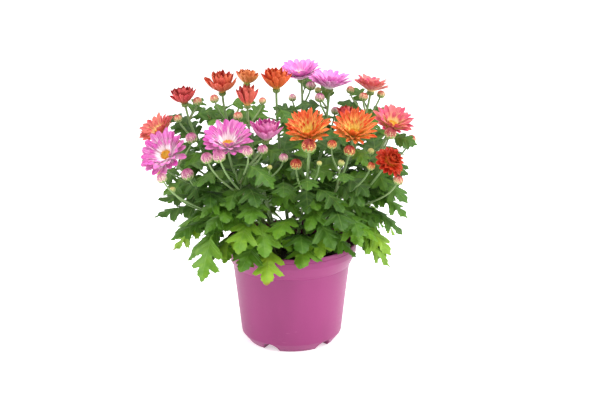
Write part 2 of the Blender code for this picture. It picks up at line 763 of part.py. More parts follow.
def tube(name, points, radii, collection):
    """A tapered four-sided stem through these points, as a closed mesh."""
    curve = bpy.data.curves.new(name, "CURVE")
    curve.dimensions = "3D"
    curve.bevel_depth = radii[0]
    curve.bevel_resolution = 0
    curve.use_fill_caps = True
    spline = curve.splines.new("POLY")
    spline.points.add(len(points) - 1)
    for spot, point, radius in zip(spline.points, points, radii):
        spot.co = (*point, 1.0)
        spot.radius = radius / radii[0]
    guide = bpy.data.objects.new(name, curve)
    collection.objects.link(guide)
    mesh = evaluated_mesh(guide)
    bpy.data.objects.remove(guide, do_unlink=True)
    bm = bmesh.new()
    bm.from_mesh(mesh)
    bpy.data.meshes.remove(mesh)
    bmesh.ops.remove_doubles(bm, verts=bm.verts, dist=0.00001)
    return object_from_bmesh(name, bm, collection)


def add_main_stem(shoot, collection):
    """The stem from its foot in the soil to the green cup that carries its bloom."""
    _, _, form, place, facing, _ = main_bloom(shoot)
    foot = stem_point(shoot, 0.0)
    points = [foot - Vector((0, 0, STEM_UPRIGHT + STEM_DEPTH)), foot]
    radii = [STEM_RADIUS, STEM_RADIUS]
    for step in range(1, STEM_STEPS + 1):
        t = step / STEM_STEPS
        points.append(stem_point(shoot, t * STEM_CUP_SHARE))
        radii.append(STEM_RADIUS + (STEM_TOP_RADIUS - STEM_RADIUS) * t)
    points.append(Vector(place))
    radii.append(cup_radius(form))
    return tube(shoot + "_main", points, radii, collection)


def cup_radius(form):
    return 0.98 * FORMS[form]["rings"][0][0]


def add_bloom_stalk(name, shoot, form, place, facing, collection):
    controls = stalk_controls(shoot, place, facing)
    points = [bezier(controls, BLOOM_STALK_CUP * step / 3) for step in range(4)]
    radii = [STALK_RADIUS] * 4
    points.append(Vector(place))
    radii.append(cup_radius(form))
    return tube(name, points, radii, collection)


def add_bud_stalk(name, controls, collection):
    steps = 1 if (Vector(controls[0]) - Vector(controls[-1])).length < SHORT_STALK else 2
    points = [bezier(controls, step / steps) for step in range(steps + 1)]
    taper = STALK_TOP_RADIUS - STALK_RADIUS
    radii = [STALK_RADIUS + taper * step / steps for step in range(steps + 1)]
    return tube(name, points, radii, collection)


def add_bud(name, place, radius, facing, collection):
    bm = bmesh.new()
    squash = Matrix.Diagonal((radius, radius, BUD_HEIGHT_SHARE * radius, 1.0))
    placed = bloom_frame(place, facing) @ squash
    bmesh.ops.create_icosphere(bm, subdivisions=1, radius=1.0, matrix=placed)
    return object_from_bmesh(name, bm, collection)


def add_woody_parts(shoot, collection):
    """Main stem, side stalks and buds of one shoot."""
    pieces = [add_main_stem(shoot, collection)]
    carried = [bloom for bloom in BLOOMS if bloom[1] == shoot]
    for name, _, form, place, facing, _ in carried[1:]:
        pieces.append(add_bloom_stalk(name + "_stalk", shoot, form, place, facing, collection))
    for order, (owner, place, radius) in enumerate(BUDS):
        if owner != shoot:
            continue
        facing = bud_facing(place)
        controls = stalk_controls(shoot, place, facing)
        pieces.append(add_bud_stalk(f"bud_stalk_{order}", controls, collection))
        pieces.append(add_bud(f"bud_{order}", place, radius, facing, collection))
    return pieces


# Leaves


class LeafShape:
    """A leaf's middle surface: an arching rib, with the blade bending down on both sides of it."""

    SAMPLES = 24

    def __init__(self, start, tip, blade, arch):
        start, tip = Vector(start), Vector(tip)
        middle = start.lerp(tip, 0.5) + Vector((0, 0, arch))
        self.spine = [bezier((start, middle, tip), i / self.SAMPLES) for i in range(self.SAMPLES + 1)]
        self.ends = [0.0]
        for first, second in zip(self.spine, self.spine[1:]):
            self.ends.append(self.ends[-1] + (second - first).length)
        self.blade = min(blade, BLADE_MOST * self.ends[-1])
        across = Vector((tip.x - start.x, tip.y - start.y, 0.0)).cross(Vector((0, 0, 1)))
        self.side = across.normalized()

    def rib(self, along):
        """Point and direction on the rib, where along is 0 at the blade's base and 1 at its tip."""
        distance = self.ends[-1] - self.blade * (1 - along)
        distance = min(max(distance, 0.0), self.ends[-1])
        index = next((i for i in range(1, self.SAMPLES + 1) if self.ends[i] >= distance), self.SAMPLES)
        low, high = self.ends[index - 1], self.ends[index]
        point = self.spine[index - 1].lerp(self.spine[index], (distance - low) / max(high - low, 1e-9))
        before = self.spine[max(index - 2, 0)]
        after = self.spine[min(index + 1, self.SAMPLES)]
        return point, (after - before).normalized()

    def up(self, direction):
        return self.side.cross(direction).normalized()

    def point(self, along, half_width, hand, lift=0.0):
        """A point of the blade, with hand +1 or -1 for its side and lift above the middle surface."""
        centre, direction = self.rib(along)
        up = self.up(direction)
        wide = half_width * self.blade
        droop = BLADE_DROOP * wide * (1 + 2 * half_width)
        return centre + hand * wide * self.side + (lift - droop) * up

    def root(self):
        """Share along the blade at which the stalk meets the stem's axis."""
        return 1 - self.ends[-1] / self.blade


def leaf_faces(shape, rib_points, outline):
    """Points and faces of a closed lens-shaped blade with its stalk."""
    root = shape.root()
    ribs = (root, *rib_points)
    rows = ((root, ROOT_HALF_WIDTH / shape.blade, 0), *((u, v, k + 1) for u, v, k in outline))
    points = []
    for along in ribs:
        points.append(shape.point(along, 0.0, 1, RIB_RISE))
        points.append(shape.point(along, 0.0, 1, -RIB_DEPTH))
    tip = len(points)
    points.append(shape.point(1.0, 0.0, 1))
    faces = []
    for hand in (1, -1):
        first = len(points)
        for along, half_width, _ in rows:
            points.append(shape.point(along, half_width, hand))
        for row in range(len(rows)):
            edge, rib = first + row, rows[row][2]
            last = row == len(rows) - 1
            next_edge = tip if last else edge + 1
            next_rib = rib if last else rows[row + 1][2]
            for face in (0, 1):
                faces.append((2 * rib + face, edge, next_edge))
                if next_rib != rib:
                    faces.append((2 * rib + face, next_edge, 2 * next_rib + face))
        if hand == 1:
            right_root = first
    left_root = first
    faces.append((0, right_root, 1))
    faces.append((0, 1, left_root))
    return points, faces


def leaf_solid(shape):
    if shape.blade < SMALL_BLADE:
        return leaf_faces(shape, SMALL_RIB, SMALL_OUTLINE)
    return leaf_faces(shape, LARGE_RIB, LARGE_OUTLINE)


def triangles(faces):
    return [(face[0], face[i], face[i + 1]) for face in faces for i in range(1, len(face) - 1)]


class Crowd:
    """The solids placed so far, which a new leaf must stay clear of."""

    def __init__(self):
        self.trees = []

    def add(self, points, faces, owner):
        self.trees.append((BVHTree.FromPolygons(points, triangles(faces)), owner))

    def add_object(self, obj, owner):
        mesh = evaluated_mesh(obj)
        mesh.calc_loop_triangles()
        points = [obj.matrix_world @ vertex.co for vertex in mesh.vertices]
        self.add(points, [tuple(triangle.vertices) for triangle in mesh.loop_triangles], owner)
        bpy.data.meshes.remove(mesh)

    def is_clear(self, points, faces, owner, root):
        """No touch with any other solid, where only the leaf's own stem may meet its root."""
        split = triangles(faces)
        outer = [t for t in split if all((points[i] - root).length > ROOT_FREE for i in t)]
        whole_tree = BVHTree.FromPolygons(points, split)
        outer_tree = BVHTree.FromPolygons(points, outer)
        probes = list(points)
        probes += [(points[a] + points[b] + points[c]) / 3 for a, b, c in split]
        probes += [(points[a] + points[b]) / 2 for a, b, _ in split]
        for tree, other in self.trees:
            own = other == owner
            if (outer_tree if own else whole_tree).overlap(tree):
                return False
            for probe in probes:
                if own and (probe - root).length < ROOT_PROBE_FREE:
                    continue
                if tree.find_nearest(probe, LEAF_CLEARANCE)[0] is not None:
                    return False
        return True


def set_leaf_options(shoot, share, tip, blade, arch):
    """The places tried for a leaf set by hand, the best first."""
    for size in SET_SIZES:
        for lift in SET_LIFTS:
            for slide in SET_SLIDES:
                start = stem_point(shoot, max(SET_LOWEST, share + slide))
                yield LeafShape(start, Vector(tip) + Vector((0, 0, lift)), size * blade, arch)


def rule_leaf_options(shoot, index):
    """The places tried for one leaf of the rule, the best first."""
    share = LEAF_START + index * LEAF_STEP
    start = stem_point(shoot, share)
    blade = LOW_BLADE + (HIGH_BLADE - LOW_BLADE) * (share / HIGH_SHARE) ** 2
    spin = random.Random(f"{shoot} leaves").uniform(0, math.tau) + index * LEAF_TURN
    heading = math.atan2(
        (1 - OUTWARD_PULL) * math.sin(spin) + OUTWARD_PULL * PULL_PER_METRE * start.y,
        (1 - OUTWARD_PULL) * math.cos(spin) + OUTWARD_PULL * PULL_PER_METRE * start.x,
    )
    for size in SIZES_TRIED:
        for tilt in TILTS_TRIED:
            for turn in TURNS_TRIED:
                angle = heading + math.radians(turn)
                slope = math.radians(LEAF_SLOPE + LEAF_SLOPE_GAIN * share + tilt)
                reach = LEAF_REACH * size * blade
                flat = reach * math.cos(slope)
                drop = reach * math.sin(slope)
                tip = start + Vector((flat * math.cos(angle), flat * math.sin(angle), drop))
                if math.hypot(tip.x, tip.y) > LEAF_REACH_LIMIT:
                    continue
                if tip.y < FRONT_LIMIT and tip.z > FRONT_LEAF_TOP:
                    continue
                yield LeafShape(start, tip, size * blade, LEAF_ARCH * reach)


def first_clear(options, crowd, shoot, placed):
    """Place the first leaf that touches nothing."""
    for shape in options:
        points, faces = leaf_solid(shape)
        if crowd.is_clear(points, faces, shoot, shape.spine[0]):
            crowd.add(points, faces, shoot)
            placed.append((points, faces))
            return True
    return False


def place_leaves(crowd):
    """Every leaf that fits, as {shoot: [(points, faces)]}."""
    leaves = {shoot: [] for shoot in SHOOTS}
    missed = []
    for number, (shoot, *rest) in enumerate(SET_LEAVES):
        if not first_clear(set_leaf_options(shoot, *rest), crowd, shoot, leaves[shoot]):
            missed.append(number)
    for index in range(LEAVES_PER_SHOOT):
        for shoot in SHOOTS:
            if not first_clear(rule_leaf_options(shoot, index), crowd, shoot, leaves[shoot]):
                missed.append((shoot, index))
    print("leaves:", sum(len(found) for found in leaves.values()), "no room:", missed)
    return leaves


def build():
    clear_scene()
    plant = new_collection("potted_chrysanthemum")
    cutters = new_collection("cutters")
    crowd = Crowd()
    crowd.add_object(add_pot(plant, cutters), "pot")
    crowd.add_object(add_soil(plant, cutters), "soil")
    for bloom in BLOOMS:
        for obj in add_bloom(bloom, plant):
            crowd.add_object(obj, obj.name)
    woody = {}
    for shoot in SHOOTS:
        woody[shoot] = add_woody_parts(shoot, plant)
        for piece in woody[shoot]:
            crowd.add_object(piece, shoot)
    leaves = place_leaves(crowd)
    for shoot, pieces in woody.items():
        for order, (points, faces) in enumerate(leaves[shoot]):
            pieces.append(object_from_faces(f"{shoot}_leaf_{order}", points, faces, plant))
        unite(shoot + "_shoot", pieces, "leaf", plant)


build()
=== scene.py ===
import math
import random
from itertools import product

import bmesh
import bpy
import numpy as np
from mathutils import Matrix, Vector, noise
from mathutils.bvhtree import BVHTree
from mathutils.kdtree import KDTree


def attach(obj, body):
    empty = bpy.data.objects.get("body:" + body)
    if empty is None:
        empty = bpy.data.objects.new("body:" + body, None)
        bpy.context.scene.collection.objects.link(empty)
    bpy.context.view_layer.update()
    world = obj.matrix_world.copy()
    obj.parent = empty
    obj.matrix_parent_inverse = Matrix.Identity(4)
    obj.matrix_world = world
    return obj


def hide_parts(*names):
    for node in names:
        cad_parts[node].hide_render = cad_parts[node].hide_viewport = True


# The looks of a potted chrysanthemum: fine leaves, stems, buds, petals, florets, soil and pot.
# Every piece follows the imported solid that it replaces, so the lists and curves that placed those
# solids are repeated here, in metres.

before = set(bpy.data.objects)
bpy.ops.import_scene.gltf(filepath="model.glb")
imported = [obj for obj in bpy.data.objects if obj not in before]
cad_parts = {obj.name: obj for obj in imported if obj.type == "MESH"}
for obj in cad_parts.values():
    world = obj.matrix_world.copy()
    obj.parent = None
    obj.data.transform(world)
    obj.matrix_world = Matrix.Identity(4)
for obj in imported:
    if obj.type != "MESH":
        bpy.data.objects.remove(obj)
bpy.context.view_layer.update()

# Camera, at the photograph's viewing angle
CAMERA_PLACE = (0.01357, -1.300, 0.5229)
CAMERA_PITCH = 0.2941
CAMERA_LENS = 87.3
CAMERA_SENSOR = 36.0

# Stage: the floor's half width and glow, the light from all round, and lamps as (name, place,
# width, power), which all face one point
FLOOR_HALF = 6.0
FLOOR_GLOW = 0.52
SKY_LIGHT = 0.60
LAMP_AIM = (0, 0, 0.12)
LAMPS = (
    ("key", (0.35, -0.70, 1.45), 0.8, 14.0),
    ("top", (-0.10, 0.20, 1.60), 1.2, 14.0),
    ("left", (-1.30, -0.05, 0.45), 1.2, 15.0),
    ("right", (1.30, -0.15, 0.45), 1.2, 19.0),
)

# Pot, as turned radii and heights
POT_HEIGHT = 0.0957
LIP_RADIUS = 0.060
LIP_STRAIGHT = 0.0095
LIP_BOTTOM = 0.0745
SHOULDER_RADIUS = 0.0538
CHAMFER_TOP_RADIUS = 0.0462
CHAMFER_TOP = 0.0085
FOOT_RADIUS = 0.040
WALL = 0.0014
POT_SIDES = 128
CHANNEL_TURNS = [math.radians(72 * index - 117) for index in range(5)]
CHANNEL_RADIUS = 0.0080
CHANNEL_START = 0.019
CHANNEL_END = 0.058
CHANNEL_SIDES = 40
DRAIN_RADIUS = 0.0025
DRAIN_DEPTH = 0.008
DRAIN_SIDES = 20
DRAIN_FROM_AXIS = 0.030
POT_CREASE = 32

# Soil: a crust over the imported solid, rough on two scales, and the crumbs that lie on it
SOIL_TOP = 0.0835
SOIL_EDGE = 0.0548
CRUST_ROWS, CRUST_SIDES = 26, 96
CRUST_SUNK = 0.0006
CRUST_CENTRE = 0.02
CRUST_MEAN, CRUST_LEAST = 0.0006, -0.0002
COARSE_HEIGHT, COARSE_SCALE, COARSE_FRACTAL = 0.0011, 160, (0.8, 2.0, 4)
BROAD_HEIGHT, BROAD_SCALE = 0.0010, 45
SOIL_CRUMBS = 200
CRUMB_LEAST, CRUMB_GAIN = 0.0006, 0.0017
CRUMB_INSET, CRUMB_LIFT, CRUMB_PROUD = 0.002, 0.0007, 0.4
CRUMB_SWELL, CRUMB_LUMPS = 0.45, 1.7
CRUMB_STRETCH = ((0.7, 1.3), (0.7, 1.3), (0.6, 1.0))

# Curves of stems and stalks. The places where a stalk may start are in hundredths of its stem, and
# OFF_STEM is a direction that no stem starts in.
STEM_UPRIGHT = 0.003
STEM_SUNK = 0.004
STEM_RADIUS = 0.0019
STALK_RADIUS = 0.0010
STEM_SPLAY = 0.34
STEM_CLIMB = 0.36
STEM_AXIAL_SHARE = 0.30
STALK_LOWEST, STALK_HIGHEST = 30, 93
STALK_DROP = 0.010
STALK_DROP_SLOPE = 0.75
STALK_OUT_SHARE = 0.56
STALK_UP_SHARE = 0.44
STALK_AXIAL_SHARE = 0.25
BUD_LEAN = 2.0
BUD_LIFT = 0.60
STEM_RIDGES, STEM_RIDGE = 5, 0.06
STEM_WOBBLE = 0.05
OFF_STEM = (0.31, 0.87, 0.11)

# Stems and stalks as drawn: share of the curve, rings, sides, and radius at the start and end
MAIN_STEM = (0.985, 30, 10, (STEM_RADIUS, 0.0010))
BLOOM_STALK = (0.97, 16, 8, (STALK_RADIUS, 0.0009))
BUD_STALK = (0.98, 12, 8, (STALK_RADIUS, 0.0007))

# Leaves: where the solids' tips and lobes lie, as (along the blade, half width)
LARGE_LOBES = ((0.69, 0.365), (0.37, 0.345))
SMALL_LOBES = ((0.52, 0.310),)
SMALL_BLADE = 0.029
BLADE_DROOP = 0.12
BLADE_MOST = 0.88
SET_SIZES = (1.0, 0.86, 0.74)
SET_LIFTS = (0.0, 0.006, -0.006, 0.012)
SET_SLIDES = (0.0, 0.05, -0.05, 0.10, -0.08)
SET_LOWEST = 0.03
LEAF_START = 0.12
LEAF_STEP = 0.095
LEAVES_PER_SHOOT = 7
LEAF_TURN = math.radians(137.5)
LOW_BLADE = 0.046
HIGH_BLADE = 0.029
HIGH_SHARE = 0.80
OUTWARD_PULL = 0.55
PULL_PER_METRE = 25
LEAF_SLOPE = -30
LEAF_SLOPE_GAIN = 42
LEAF_REACH = 1.30
LEAF_ARCH = 0.38
TURNS_TRIED = (0, 25, -25, 50, -50, 80, -80, 115, -115, 155)
TILTS_TRIED = (0, 16, -16, 32)
SIZES_TRIED = (1.0, 0.84, 0.68)
LEAF_MATCH = 0.0016

# Small leaves, one in the crook of each side stalk and some up each stem
SMALL_LEAF_LOW, SMALL_LEAF_HIGH = 0.034, 0.021
SMALL_LEAF_TOPS = (0.52, 0.61, 0.70, 0.79, 0.88, 0.42)
SMALL_LEAF_SLOPE, SMALL_LEAF_TWIST = 4, 30
SMALL_LEAF_ROLL = math.radians(34)
SMALL_LEAF_REACH = 1.22
SMALL_LEAF_ARCH = 0.26
SMALL_LEAF_SIZES = (1.0, 0.80, 0.62)
SMALL_LEAF_TILTS = (0, 22, -22)
SMALL_LEAF_TURNS = (0, 28, -28, 58, -58, 95, -95, 140, -140, 180)
SMALL_LEAF_CLEAR = 0.0010
SMALL_LEAF_NEAR = 0.03

# Where a small leaf has to be clear of everything: (along the blade, half width)
CLEAR_POINTS = ((0.25, 0.176), (0.45, 0.264), (0.65, 0.308), (0.85, 0.176), (1.0, 0.0))

# Half outline of a leaf: (along the blade, half width, share of the rib it hangs from, vein).
# A vein of 1 runs to a lobe's tip, a smaller one to a tooth, and 0 is a notch.
LEAF_EDGE = (
    (0.000, 0.018, 0.000, 0.0),
    (0.085, 0.036, 0.065, 0.0),
    (0.134, 0.092, 0.088, 0.0),
    (0.205, 0.182, 0.108, 0.2),
    (0.264, 0.276, 0.128, 0.6),
    (0.296, 0.280, 0.140, 0.3),
    (0.346, 0.352, 0.152, 0.9),
    (0.376, 0.338, 0.166, 0.5),
    (0.424, 0.370, 0.180, 1.0),
    (0.444, 0.318, 0.198, 0.6),
    (0.482, 0.294, 0.216, 0.6),
    (0.466, 0.226, 0.244, 0.2),
    (0.446, 0.178, 0.284, 0.0),
    (0.444, 0.150, 0.335, 0.0),
    (0.478, 0.158, 0.372, 0.0),
    (0.528, 0.196, 0.404, 0.2),
    (0.576, 0.254, 0.418, 0.6),
    (0.600, 0.260, 0.434, 0.3),
    (0.654, 0.334, 0.446, 0.9),
    (0.678, 0.328, 0.458, 0.5),
    (0.718, 0.374, 0.470, 1.0),
    (0.730, 0.314, 0.490, 0.6),
    (0.764, 0.282, 0.510, 0.6),
    (0.740, 0.214, 0.546, 0.2),
    (0.716, 0.168, 0.592, 0.0),
    (0.714, 0.140, 0.644, 0.0),
    (0.748, 0.140, 0.688, 0.1),
    (0.798, 0.160, 0.724, 0.6),
    (0.824, 0.132, 0.758, 0.2),
    (0.880, 0.138, 0.800, 0.6),
    (0.908, 0.092, 0.850, 0.2),
    (0.950, 0.074, 0.900, 0.5),
    (1.000, 0.006, 0.992, 1.0),
)

# Points across a leaf, and its thickness, rib, waves and veins. A leaf with a blade over FINE_BLADE
# has more rows and columns.
FINE_COLUMNS = (-1.0, -0.68, -0.32, -0.07, 0.0, 0.07, 0.32, 0.68, 1.0)
COARSE_COLUMNS = (-1.0, -0.55, -0.07, 0.0, 0.07, 0.55, 1.0)
FINE_BLADE = 0.033
PETIOLE_ROWS = 5
PETIOLE_HALF = 0.0008
BLADE_HALF, BLADE_THINS = 0.00016, 0.75
BLADE_FROM = 0.02
RIB_TOP, RIB_BELOW = 0.00012, 0.00055
RIB_SPREAD, RIB_THINS = 0.10, 0.75
PUCKER = 0.00055
EDGE_WAVE = 0.0011
WAVE_RATES = (5.0, 8.0)
WAVE_SHIFT, WAVE_FROM = 1.3, 0.05
LOBE_CURL = 0.055
LEAF_UNEVEN = (0.90, 1.08)
STALKY_UP_TO = 0.12
RIB_VEIN = 0.07
SIDE_VEIN_FROM, SIDE_VEIN_GAIN, SIDE_VEIN_POWER, SIDE_VEIN_FADE = 0.45, 1.8, 1.5, 0.75

# Leaf tones, from young leaves high up to old ones low down, and the greens that they stand for
OLD_BELOW, OLD_SPAN = 0.150, 0.075
YOUNG_TONE, AGE_TONE, AGE_POWER, TONE_SPREAD = 0.27, 0.50, 1.6, 0.20
TONE_RANGE = (0.02, 0.86)
LEAF_GREENS = (
    (0.00, (0.019, 0.062, 0.006)),
    (0.30, (0.046, 0.130, 0.008)),
    (0.55, (0.092, 0.225, 0.010)),
    (0.80, (0.215, 0.370, 0.018)),
    (1.00, (0.390, 0.430, 0.034)),
)

# Green cups and buds are balls clad in scales. Each ring of scales is (count, lowest and highest
# angle, lift, lap, (tip width, roundness)), with a bud's lift and lap as shares of its radius.
BALL_SIDES, BALL_LEVELS, BALL_BOTTOM = 14, 9, 0.08
SCALE_FOOT, SCALE_WIDEST, SCALE_FOOT_LIFT = 0.75, 0.45, 0.3
SCALE_OVERLAP = 1.25
SCALE_SHIFT = (-0.12, 0.12)
SCALE_REACH = (0.94, 1.04)
CALYX_UP, CALYX_OUT, CALYX_SCALE = 0.0002, 0.0003, 0.0003
CALYX_RINGS = (
    (12, 0.35, 1.80, 0.00045, 0.00010, (0.35, 0.10)),
    (10, 0.15, 1.25, 0.00075, 0.00012, (0.30, 0.12)),
)
BUD_BALL, BUD_BALL_SQUASH, BUD_BALL_TOP = 0.90, 0.92, 0.97 * math.pi
BUD_SQUASH = 0.94
BUD_PETAL, BUD_BRACT = 0.07, 0.08
BUD_PETAL_GRID = (5, 4)
BUD_PETAL_RINGS = (
    (16, 0.28 * math.pi, 0.955 * math.pi, -0.02, 0.045, (0.50, 0.05)),
    (6, 0.55 * math.pi, 0.985 * math.pi, -0.05, 0.030, (0.45, 0.05)),
)
BUD_BRACT_RINGS = (
    (10, 0.16, 0.50 * math.pi, 0.04, 0.02, (0.30, 0.10)),
    (8, 0.12, 0.36 * math.pi, 0.09, 0.02, (0.30, 0.10)),
)
SMALL_BUD = 0.0032
SMALL_BUD_PETALS = 10
RIPE_SMALLEST, RIPE_LARGEST = 0.0036, 0.0054
RIPENESS = (0.55, 1.0)

# Bloom forms. Each layer of petals, from the outside in, is (petals, rise at the base, rise at the
# tip, reach, full width, radius and height of its roots), where reach is a share of the bloom's
# radius and angles are in degrees above the bloom's plane. A section is the half angle that a petal
# curls through, how round its tip is, how deep the tip's notches are and the tip's width share. The
# cup and the disc are given by their radii, and disc_height is where the florets' dome begins.
FORMS = {
    "daisy": {
        "layers": (
            (17, 31, 25, 0.91, 0.0070, 0.0042, 0.0012),
            (16, 44, 38, 0.86, 0.0062, 0.0045, 0.0026),
            (11, 58, 54, 0.56, 0.0046, 0.0045, 0.0034),
        ),
        "section": (0.70, 0.06, 0.045, 0.64),
        "cup": 0.0030,
        "disc": 0.0045,
        "disc_height": 0.0032,
    },
    "quill": {
        "layers": (
            (18, 43, 36, 0.91, 0.0056, 0.0043, 0.0010),
            (18, 55, 48, 0.87, 0.0052, 0.0046, 0.0024),
            (14, 64, 61, 0.66, 0.0046, 0.0045, 0.0036),
            (9, 70, 70, 0.42, 0.0034, 0.0040, 0.0042),
        ),
        "section": (1.15, 0.12, 0.030, 0.46),
        "cup": 0.0032,
        "disc": 0.0040,
        "disc_height": 0.0042,
    },
    "coral": {
        "layers": (
            (15, 31, 25, 0.91, 0.0064, 0.0040, 0.0012),
            (14, 46, 40, 0.86, 0.0058, 0.0042, 0.0026),
            (9, 60, 58, 0.52, 0.0042, 0.0041, 0.0033),
        ),
        "section": (0.85, 0.10, 0.032, 0.50),
        "cup": 0.0028,
        "disc": 0.0040,
        "disc_height": 0.0031,
    },
    "cup": {
        "layers": (
            (11, 27, 71, 1.12, 0.0080, 0.0034, 0.0012),
            (11, 48, 89, 1.02, 0.0072, 0.0032, 0.0026),
            (9, 65, 101, 0.88, 0.0060, 0.0024, 0.0038),
            (6, 76, 112, 0.70, 0.0050, 0.0012, 0.0044),
        ),
        "section": (1.05, 0.14, 0.020, 0.40),
        "cup": 0.0028,
        "disc": None,
        "disc_height": 0.0044,
    },
    "goblet": {
        "layers": (
            (9, 46, 80, 1.33, 0.0068, 0.0029, 0.0012),
            (8, 62, 95, 1.20, 0.0060, 0.0022, 0.0026),
            (5, 76, 108, 1.04, 0.0052, 0.0010, 0.0036),
        ),
        "section": (1.10, 0.14, 0.018, 0.38),
        "cup": 0.0024,
        "disc": None,
        "disc_height": 0.0038,
    },
    "double": {
        "layers": (
            (15, 6, -10, 0.89, 0.0060, 0.0042, 0.0010),
            (15, 28, 20, 0.85, 0.0056, 0.0042, 0.0026),
            (13, 52, 60, 0.70, 0.0050, 0.0036, 0.0044),
            (10, 70, 94, 0.58, 0.0046, 0.0026, 0.0056),
            (6, 78, 110, 0.46, 0.0042, 0.0012, 0.0062),
        ),
        "section": (1.10, 0.14, 0.022, 0.38),
        "cup": 0.0030,
        "disc": None,
        "disc_height": 0.0062,
    },
}

# Petals: their grid, thickness, outline and notches, and the ranges of their uneven growth
PETAL_ROWS, PETAL_CROWDING = 8, 1.3
PETAL_COLUMNS = 7
PETAL_HALF, PETAL_EDGE_THINS, PETAL_TIP_THINS = 0.00015, 0.7, 0.5
PETAL_GROOVE = 0.00016
PETAL_BLUNTNESS, PETAL_TEETH = 2.2, 2.6
PETAL_PROFILE = ((0.0, 0.40), (0.2, 0.62), (0.45, 0.88), (0.70, 1.0), (0.85, 0.98), (0.95, 0.87))
PETAL_ROOT = 0.90
PETAL_SHIFT = (-0.14, 0.14)
PETAL_TILT = (-5.0, 5.0)
PETAL_BEND = (-7.0, 7.0)
PETAL_LENGTH = (0.91, 1.05)
PETAL_WIDTH = (0.90, 1.06)
PETAL_LEAN = (2.0, 16.0)
LEAST_BEND = 0.001

# The core that the petals grow from, and its gap over the green cup
CORE_SIDES, CORE_FOOT, CORE_TOP = 20, 0.85, 0.5
CORE_OUT, CORE_UP = 0.0001, 0.0002
SEAT_GAP = 0.0006

# Florets, packed on a dome. Each is turned from rows of (radius, height, height as a share of the
# floret's length, colour mark), and it grows longer from the disc's middle out.
FLORETS, FLORET_SIDES = 72, 6
FLORET_FIRST, FLORET_SHARE, FLORET_LEAN = 0.6, 0.93, 0.9
FLORET_INNER, FLORET_GAIN, FLORET_UNEVEN = 0.00055, 0.00075, (0.75, 1.15)
FLORET_ROWS = (
    (0.00028, -0.0004, 0.0, 0.0),
    (0.00034, 0.0, 0.5, 0.4),
    (0.00042, 0.0, 1.0, 1.0),
    (0.00022, 0.00004, 1.0, 0.8),
    (0.00010, 0.0, 0.8, 0.2),
)
DOME_HEIGHT, DOME_SHARE, DOME_TOP, DOME_LEVELS, DOME_SIDES = 0.0019, 0.94, 0.04, 7, 24

# Shoots, by the place where each one's main stem stands
SHOOTS = {
    "pink_left": (-0.024, -0.013),
    "pink_front": (-0.013, -0.025),
    "pink_back": (0.001, 0.018),
    "pink_right": (0.012, 0.008),
    "pink_back_left": (-0.012, 0.028),
    "orange_front": (0.004, -0.021),
    "orange_right": (0.018, -0.016),
    "orange_back": (0.012, 0.030),
    "red_left": (-0.033, -0.001),
    "red_high_left": (-0.019, 0.006),
    "red_centre": (-0.011, -0.008),
    "red_middle": (-0.001, -0.003),
    "red_high_right": (0.024, 0.004),
    "red_right": (0.031, -0.010),
    "red_back_right": (0.027, 0.018),
    "red_back_left": (-0.027, 0.016),
}

# Blooms: (name, shoot, form, place of the green cup's top, facing, radius to the petal tips).
# A shoot's first bloom ends its main stem, and its others are carried on side stalks.
BLOOMS = (
    ("pink_left", "pink_left", "daisy", (-0.107, -0.046, 0.186), (-0.35, -0.70, 0.62), 0.0235),
    ("pink_front", "pink_front", "daisy", (-0.054, -0.053, 0.196), (0.00, -0.45, 0.89), 0.0245),
    ("pink_cup", "pink_front", "cup", (-0.022, -0.030, 0.197), (0.08, -0.15, 0.98), 0.0165),
    ("pink_back", "pink_back", "daisy", (0.009, 0.062, 0.232), (-0.10, -0.20, 0.97), 0.0208),
    ("pink_right", "pink_right", "daisy", (0.035, 0.028, 0.230), (0.06, 0.00, 1.00), 0.0210),
    ("pink_behind", "pink_back_left", "daisy", (-0.060, 0.072, 0.166), (-0.25, 0.60, 0.76), 0.0205),
    ("orange_front", "orange_front", "quill", (0.016, -0.049, 0.204), (-0.08, -0.53, 0.84), 0.0245),
    ("orange_right", "orange_right", "quill", (0.055, -0.041, 0.203), (0.05, -0.57, 0.82), 0.0250),
    ("orange_behind", "orange_back", "quill", (0.017, 0.078, 0.178), (-0.05, 0.60, 0.80), 0.0205),
    ("red_middle", "red_middle", "cup", (-0.013, 0.000, 0.236), (0.00, -0.05, 1.00), 0.0170),
    ("red_high_left", "red_high_left", "cup", (-0.062, 0.010, 0.231), (-0.05, -0.15, 0.98), 0.0172),
    ("red_high_behind", "red_high_left", "cup", (-0.041, 0.040, 0.232), (0.10, 0.05, 0.99), 0.0115),
    ("red_goblet", "red_centre", "goblet", (-0.038, -0.025, 0.227), (0.02, -0.06, 1.00), 0.0130),
    ("red_far_left", "red_left", "cup", (-0.095, 0.000, 0.223), (-0.15, -0.05, 0.98), 0.0130),
    ("coral_left", "red_left", "coral", (-0.116, -0.006, 0.196), (-0.45, -0.30, 0.84), 0.0185),
    ("coral_high_right", "red_high_right", "coral", (0.073, 0.035, 0.226), (0.14, 0.04, 0.98), 0.0170),
    ("red_opening", "red_high_right", "goblet", (0.049, -0.005, 0.209), (0.00, 0.00, 1.00), 0.0085),
    ("coral_right", "red_right", "coral", (0.089, -0.017, 0.205), (0.25, -0.42, 0.87), 0.0200),
    ("red_double", "red_right", "double", (0.085, -0.052, 0.182), (0.40, -0.55, 0.62), 0.0120),
    ("coral_behind_right", "red_back_right", "coral", (0.094, 0.046, 0.190), (0.50, 0.60, 0.62), 0.0165),
    ("coral_behind_left", "red_back_left", "coral", (-0.112, 0.038, 0.163), (-0.60, 0.45, 0.66), 0.0180),
)

